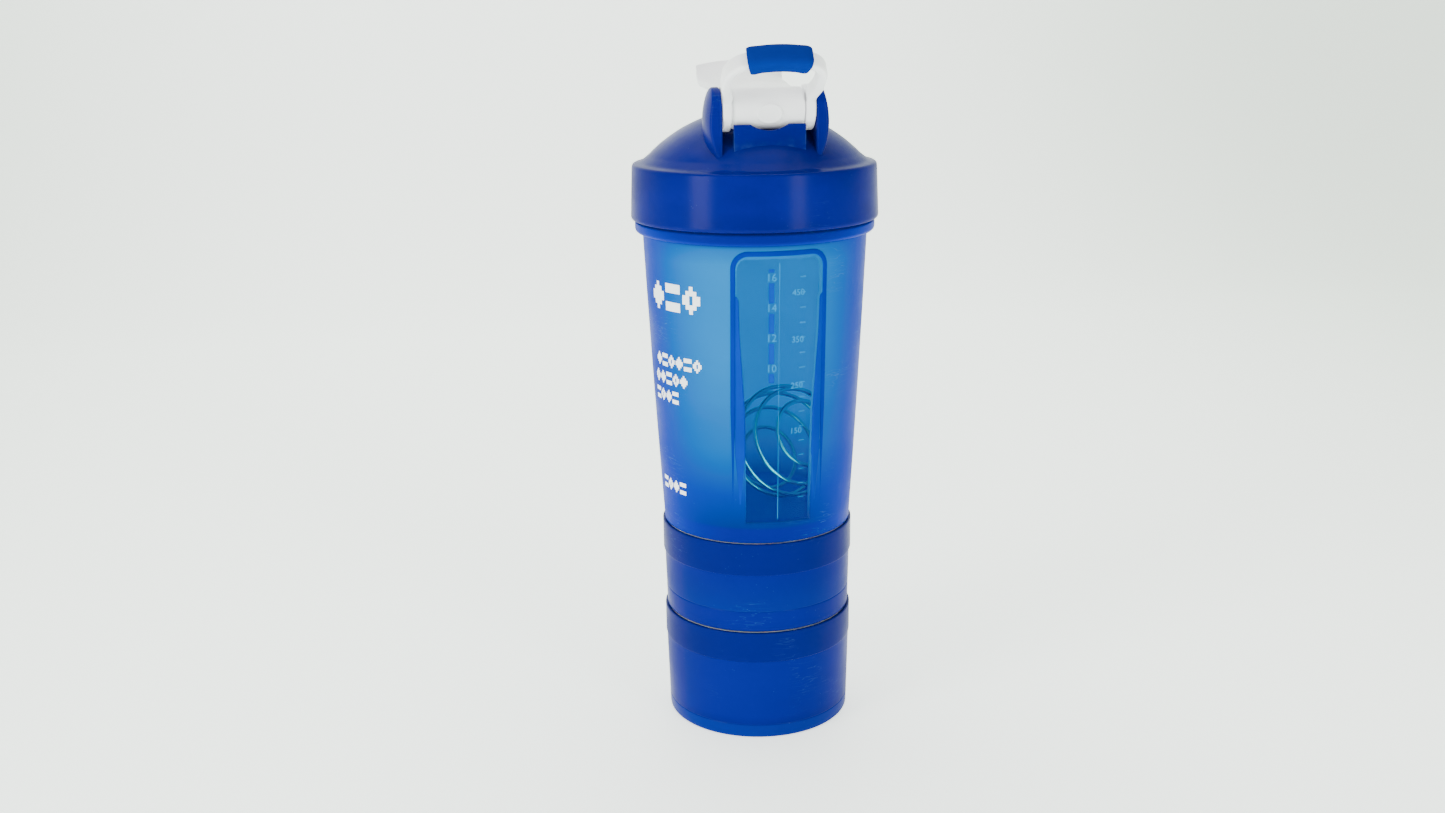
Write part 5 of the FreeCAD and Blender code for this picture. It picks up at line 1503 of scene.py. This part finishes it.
# ====================================================================== flip cap
@dataclass
class FlipCap:
    """The white cap: barrel with an oval boss, arched plate, thumb tab and closing ring.

    Attributes:
        hinge: The pivot it turns on.
        spout: Place of the spout's middle along Y.
        spout_radius: The spout's outer radius.
        spout_top: Level of its lip.
        reach: From the pivot to the thumb tab's edge.
        plate: Thickness.
        crown: Radius of the plate's arch.
        rise: How fast the plate climbs.
        waist: How far in front of the pivot it stays narrow.
        half: Half its width at the thumb tab.
        tab: Length of the thumb tab.
        lift: How far the tab's edge turns up.
    """
    hinge: Hinge
    spout: float = 21.5
    spout_radius: float = 12.0
    spout_top: float = 251.2
    reach: float = 61.0
    plate: float = 2.4
    crown: float = 34.0
    rise: float = math.tan(math.radians(4.6))
    waist: float = 10.0
    half: float = 17.3
    tab: float = 7.0
    lift: float = 2.5

    def plate_mesh(self) -> bpy.types.Object:
        """The plate and tab: one rounded section carried from the barrel to the edge.

        At a distance s from the pivot the top is at crown height minus the arch,
        R - sqrt(R^2 - x^2), less of it towards the tab, plus a square-law flare.
        """
        ahead = np.concatenate([np.linspace(0, self.reach - self.tab, 46)[:-1],
                                np.linspace(self.reach - self.tab, self.reach, 22)])
        widen = np.clip((ahead - self.waist) / (self.reach - self.waist - 2.5), 0, 1)
        half = self.hinge.barrel_half - 0.1 + (self.half - self.hinge.barrel_half) * widen
        flare = np.clip((ahead - self.reach + self.tab) / self.tab, 0, 1)
        thick = self.plate * (1 - 0.45 * flare)
        across = np.linspace(-1, 1, 41)
        edge = 0.55
        cap_turn = np.linspace(0, math.pi, 9)[1:-1]
        top_share = np.concatenate([across, np.ones(7), across[::-1], -np.ones(7)])
        swell = np.concatenate([0 * across, np.sin(cap_turn), 0 * across,
                                -np.sin(cap_turn)]) * edge
        side = np.concatenate([np.ones(41), np.cos(cap_turn), -np.ones(41),
                               -np.cos(cap_turn)])
        x = top_share * (half - edge)[:, None] + swell
        arch = self.crown - np.sqrt(self.crown ** 2 - np.clip(x, -20, 20) ** 2)
        flat = (1 - 0.62 * flare ** 1.5)[:, None]
        base = (self.hinge.z + self.hinge.barrel + self.rise * ahead
                + self.lift * flare ** 2)[:, None]
        bow = 2.3 * (1 - (x / self.half) ** 2) * (flare ** 2)[:, None]
        z = base - arch * flat - thick[:, None] / 2 + side * thick[:, None] / 2
        y = self.hinge.y + ahead[:, None] + bow - 2.3 * (flare ** 2)[:, None]
        points = np.stack([x, y + 0 * x, z], -1)
        return grid_mesh("cap_plate", capped(points), False, True, True, True)

    def boss(self) -> bpy.types.Object:
        """The plain oval boss on the barrel's back.

        Rings of an oval, a cos t by b sin t, lie on a cylinder a little proud of the
        barrel and roll over at their edge.
        """
        turn = np.arange(96) * FULL_TURN / 96
        share = np.array([0, 0.35, 0.62, 0.70, 0.76, 0.86, 0.93, 0.98, 1.0, 1.02])
        rise = np.array([0.42, 0.42, 0.42, 0.47, 0.62, 0.70, 0.62, 0.40, 0.1, -0.4])
        x = 4.9 * share[:, None] * np.cos(turn)
        along = 3.8 * share[:, None] * np.sin(turn)
        angle = math.radians(193) + along / self.hinge.barrel
        size = self.hinge.barrel + rise[:, None]
        points = np.stack([x, self.hinge.y + size * np.cos(angle),
                           self.hinge.z + size * np.sin(angle)], -1)
        back = points[-1:].copy()
        back[...] = (0, self.hinge.y - 5.2, self.hinge.z - 1.2)
        return grid_mesh("cap_boss", np.concatenate([points, back]), False, True, True, True)

    def build(self, plastics: Plastics) -> None:
        """Makes the cap and its soft plug."""
        hinge = self.hinge
        half, radius, eye = hinge.barrel_half, hinge.barrel, hinge.stub + STUB_GAP
        barrel = rounded_outline(
            [(0, -half + 5), (eye, -half + 5), (eye, -half), (radius, -half), (radius, half),
             (eye, half), (eye, half - 5), (0, half - 5)], [0, 0.2, 0.4, 1.5, 1.5, 0.4, 0.2, 0],
            7)
        inner = self.spout_radius + 0.7
        ring_top = hinge.z + radius + 2.2
        ring_low = self.spout_top - 3.8
        ring = rounded_outline([(inner, ring_low), (inner + 1.4, ring_low),
                                (inner + 1.4, ring_top - 2.4), (inner, ring_top - 2.4)],
                               [0.4, 0.6, 0, 0], 5, True)
        turn = np.arange(160) * FULL_TURN / 160
        skirt = turned(finely(np.concatenate([ring, ring[:1]]), 1.0)[:-1], turn,
                       (0.0, self.spout))
        under = (hinge.z + radius - self.plate / 2 + self.rise * (skirt[..., 1] - hinge.y)
                 - self.crown + np.sqrt(self.crown ** 2 - skirt[..., 0] ** 2))
        skirt[..., 2] = np.minimum(skirt[..., 2], under)
        peg = rounded_outline([(0, self.spout_top + 0.6), (6.6, self.spout_top + 0.6),
                               (6.6, self.spout_top + 2.6), (0, self.spout_top + 2.6)],
                              [0, 0.2, 0.2, 0], 3)
        parts = [self.plate_mesh(), along_x("cap_barrel", finely(barrel, 1.5), hinge.pivot),
                 self.boss(), grid_mesh("cap_ring", skirt, True, True),
                 lathe("cap_peg", peg, 96, (0.0, self.spout))]
        made = joined("flip_cap_look", parts)
        dress(made, "cap", "white_plastic", [plastics.white], "flip_cap")
        low, high = level("spout_plug")
        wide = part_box("spout_plug")[1].x / MM
        plug = rounded_outline([(0, high - 2), (wide - 3, high - 2), (wide - 3, low),
                                (wide - 1.1, low), (wide, high), (0, high)],
                               [0, 0.5, 0.3, 0.6, 0.3, 0], 5)
        made = lathe("spout_plug_look", finely(plug, 1.0), 128, (0.0, self.spout))
        dress(made, "cap", "clear_silicone", [plastics.seal], "spout_plug")


# ====================================================================== carry loop
@dataclass
class CarryLoop:
    """The rigid loop with its soft grip, leaning back from the pivot.

    Attributes:
        hinge: The pivot it swings on.
        lean: Back from upright.
        reach: From the pivot to the middle of the bar.
        leg: Leg width across the bottle.
        depth: Leg depth through the loop.
        eye: Radius of the eyes.
        splay: How far the legs spread.
        corner: Radius of the corners' centre line.
        bar_radius: Radius of the arched bar.
        gap: Each side of a leg.
    """
    hinge: Hinge
    lean: float = math.radians(54)
    reach: float = 31.4
    leg: float = 3.4
    depth: float = 6.3
    eye: float = 8.25
    splay: float = 1.5
    corner: float = 9.0
    bar_radius: float = 34.0
    gap: float = 0.25

    def spine(self) -> tuple[np.ndarray, float]:
        """Centre line (x, height over the pivot) and the bar's half sweep."""
        leg_x = self.hinge.barrel_half + self.gap + self.leg / 2
        wide = leg_x + self.splay
        side = wide - self.corner
        small = self.bar_radius - self.corner
        half = math.asin(side / small)
        middle = self.reach - self.bar_radius
        corner_z = middle + small * math.cos(half)
        rise = np.linspace(2, corner_z, 40)
        ease = np.clip((rise - 9.0) / 7.0, 0, 1)
        leg = np.stack([leg_x + self.splay * ease * ease * (3 - 2 * ease), rise], -1)
        angle = np.linspace(0, math.pi / 2 - half, 22)[1:]
        bend = np.stack([side + self.corner * np.cos(angle),
                         corner_z + self.corner * np.sin(angle)], -1)
        angle = np.linspace(math.pi / 2 - half, math.pi / 2, 20)[1:]
        bar = np.stack([self.bar_radius * np.cos(angle),
                        middle + self.bar_radius * np.sin(angle)], -1)
        right = np.concatenate([leg, bend, bar])
        left = right[-2::-1] * (-1, 1)
        return np.concatenate([right, left]), half

    def placed(self, flat: np.ndarray) -> np.ndarray:
        """Points of the loop's plane, leant back about the pivot."""
        x, up = flat[:, 0], flat[:, 1]
        return np.stack([x, self.hinge.y - up * math.sin(self.lean),
                         self.hinge.z + up * math.cos(self.lean)], -1)

    def build(self, plastics: Plastics) -> None:
        """Makes the loop and its grip."""
        line, half = self.spine()
        path = self.placed(line)
        through = np.array([0.0, math.cos(self.lean), math.sin(self.lean)])
        normal = np.tile(through, (len(path), 1))
        section = rounded_box(self.leg, self.depth, 1.3, 6)
        parts = [sweep("loop_bar", path, normal, section)]
        bore = self.hinge.stub + STUB_GAP
        for side in (-1, 1):
            near = self.hinge.barrel_half + self.gap
            far = near + self.leg
            outline = rounded_outline([(bore, near), (self.eye, near), (self.eye, far),
                                       (bore, far)], [0.3, 0.7, 0.7, 0.3], 5, True)
            outline[:, 1] *= side
            parts.append(along_x("loop_eye_%d" % side, outline, self.hinge.pivot, 96))
        made = joined("carry_loop_look", parts)
        dress(made, "loop", "white_plastic", [plastics.white], "carry_loop")
        angle = np.linspace(-half, half, 61)
        middle = self.reach - self.bar_radius
        grip = self.placed(np.stack([-self.bar_radius * np.sin(angle),
                                     middle + self.bar_radius * np.cos(angle)], -1))
        away = np.minimum(angle - angle[0], angle[-1] - angle) * self.bar_radius
        shrink = 1 - 0.05 * np.exp(-away / 0.35)
        flare = 0.03 * np.exp(-((away - 1.6) / 1.4) ** 2)
        tall = rounded_box(7.7, 8.8, 2.8, 7)
        made = sweep("loop_grip_look", grip, np.tile(through, (61, 1)), tall, shrink + flare)
        dress(made, "loop", "soft_blue_grip", [plastics.grip], "loop_grip")


# ====================================================================== studio
@dataclass
class Studio:
    """Pale floor, soft light and the camera.

    Attributes:
        distance: Camera to the bottle's axis, level, in metres.
        height: Camera above the floor.
        azimuth: Camera's bearing round the bottle; minus is towards its left side.
        pitch: Downward tilt.
        lean: Roll of the picture.
        aside: How far the camera stands left of the line to the axis.
        lens: Focal length for a 36 mm wide sensor, in millimetres.
    """
    distance: float = 586.0 * MM
    height: float = 282.9 * MM
    azimuth: float = math.radians(-8.8)
    pitch: float = math.radians(14.94)
    lean: float = math.radians(0.77)
    aside: float = 13.3 * MM
    lens: float = 37.95

    def camera(self) -> None:
        """Makes the scene's camera from the distances and angles."""
        data = bpy.data.cameras.new("camera")
        data.lens = self.lens
        data.sensor_width = 36.0
        data.clip_start, data.clip_end = 0.01, 50.0
        made = bpy.data.objects.new("camera", data)
        bpy.context.scene.collection.objects.link(made)
        sin_a, cos_a = math.sin(self.azimuth), math.cos(self.azimuth)
        ahead_level = Vector((-sin_a, cos_a, 0))
        right = Vector((cos_a, sin_a, 0))
        ahead = ahead_level * math.cos(self.pitch) - Vector((0, 0, math.sin(self.pitch)))
        up = ahead_level * math.sin(self.pitch) + Vector((0, 0, math.cos(self.pitch)))
        place = -ahead_level * self.distance - right * self.aside
        place += Vector((0, 0, self.height))
        across = right * math.cos(self.lean) - up * math.sin(self.lean)
        upward = up * math.cos(self.lean) + right * math.sin(self.lean)
        turn = Matrix((across, upward, -ahead)).transposed().to_4x4()
        made.matrix_world = Matrix.Translation(place) @ turn
        bpy.context.scene.camera = made

    def floor(self) -> None:
        """A pale floor that curves up into a backdrop far behind the bottle, with painted shade
        towards the left and right.
        """
        profile = rounded_outline([(-1500, 0), (1250, 0), (1250, 2600)], [0, 500, 0], 32)
        across = np.linspace(-3500, 3500, 17)
        points = np.stack(np.broadcast_arrays(across[None, :], profile[:, 0][:, None],
                                              profile[:, 1][:, None]), -1)
        paper = grid_mesh("floor", points[::-1], False, False, closed=False)
        made = bpy.data.materials.new("floor_paper")
        made.use_nodes = True
        graph = Graph(made.node_tree)
        shader = made.node_tree.nodes["Principled BSDF"]
        place = graph.add("TexCoord").outputs["Object"]
        split = graph.add("SeparateXYZ", Vector=place)
        # Painted shade: the floor and backdrop darken towards the left and right.
        out = graph.between(graph.maths("ABSOLUTE", split.outputs["X"]), 0.2, 0.9)
        fibre = graph.add("TexNoise", Vector=place, Scale=900.0, Detail=3.0).outputs[0]
        shade = graph.mixed(out, (0.90, 0.955, 0.905), (0.66, 0.735, 0.655))
        graph.put(shader.inputs["Base Color"], shade)
        graph.put(shader.inputs["Emission Color"], shade)
        shader.inputs["Emission Strength"].default_value = 1.5
        shader.inputs["Roughness"].default_value = 0.55
        bump = graph.add("Bump", Strength=0.05, Distance=0.0003, Height=fibre)
        graph.put(shader.inputs["Normal"], bump.outputs[0])
        paper.data.materials.append(made)

    def lights(self) -> None:
        """Two tall soft boxes in front, a soft top light and a pale surround."""
        world = bpy.data.worlds.new("studio")
        bpy.context.scene.world = world
        world.use_nodes = True
        back = world.node_tree.nodes["Background"]
        back.inputs["Color"].default_value = (0.93, 0.96, 0.95, 1)
        back.inputs["Strength"].default_value = 0.5
        for name, place, size, power in (
                ("left_box", (-1.0, -0.6, 0.45), (0.4, 0.8), 14.0),
                ("right_box", (0.6, -1.05, 0.42), (0.3, 0.75), 8.0),
                ("top_box", (0.0, 0.2, 1.5), (1.4, 1.2), 16.0)):
            data = bpy.data.lights.new(name, "AREA")
            data.shape = "RECTANGLE"
            data.size, data.size_y = size
            data.energy = power
            lamp = bpy.data.objects.new(name, data)
            bpy.context.scene.collection.objects.link(lamp)
            aim = Vector((0, 0, 0.14)) - Vector(place)
            lamp.rotation_mode = "QUATERNION"
            lamp.rotation_quaternion = aim.to_track_quat("-Z", "Y")
            lamp.location = place


def main() -> None:
    """Builds the pieces from the base up, then the studio round them."""
    logging.basicConfig(level=logging.INFO, format="%(name)s: %(message)s")
    make_effects()
    plastics = Plastics()
    hinge = Hinge()
    pieces = (
        Jar("lower_jar", "lower_jar", base=36.5, top=37.35, collar=37.65,
            collar_height=12.1, neck=0.0, bottom=0.0),
        Ring("lower_jar_seal", "lower_seal", width=2.0),
        Jar("upper_jar", "upper_jar", base=36.8, top=37.4, collar=37.95,
            collar_height=12.7, neck=33.85, bottom=45.5, bore=35.75, groove=8.3),
        Ring("upper_jar_seal", "upper_seal", width=2.0),
        PillTray(),
        Cup(),
        Whisk(),
        Ring("lid_seal", "lid_seal", width=5.7),
        Lid(hinge),
        FlipCap(hinge),
        CarryLoop(hinge))
    for piece in pieces:
        piece.build(plastics)
    studio = Studio()
    studio.camera()
    studio.floor()
    studio.lights()


if __name__ == "__main__":
    main()
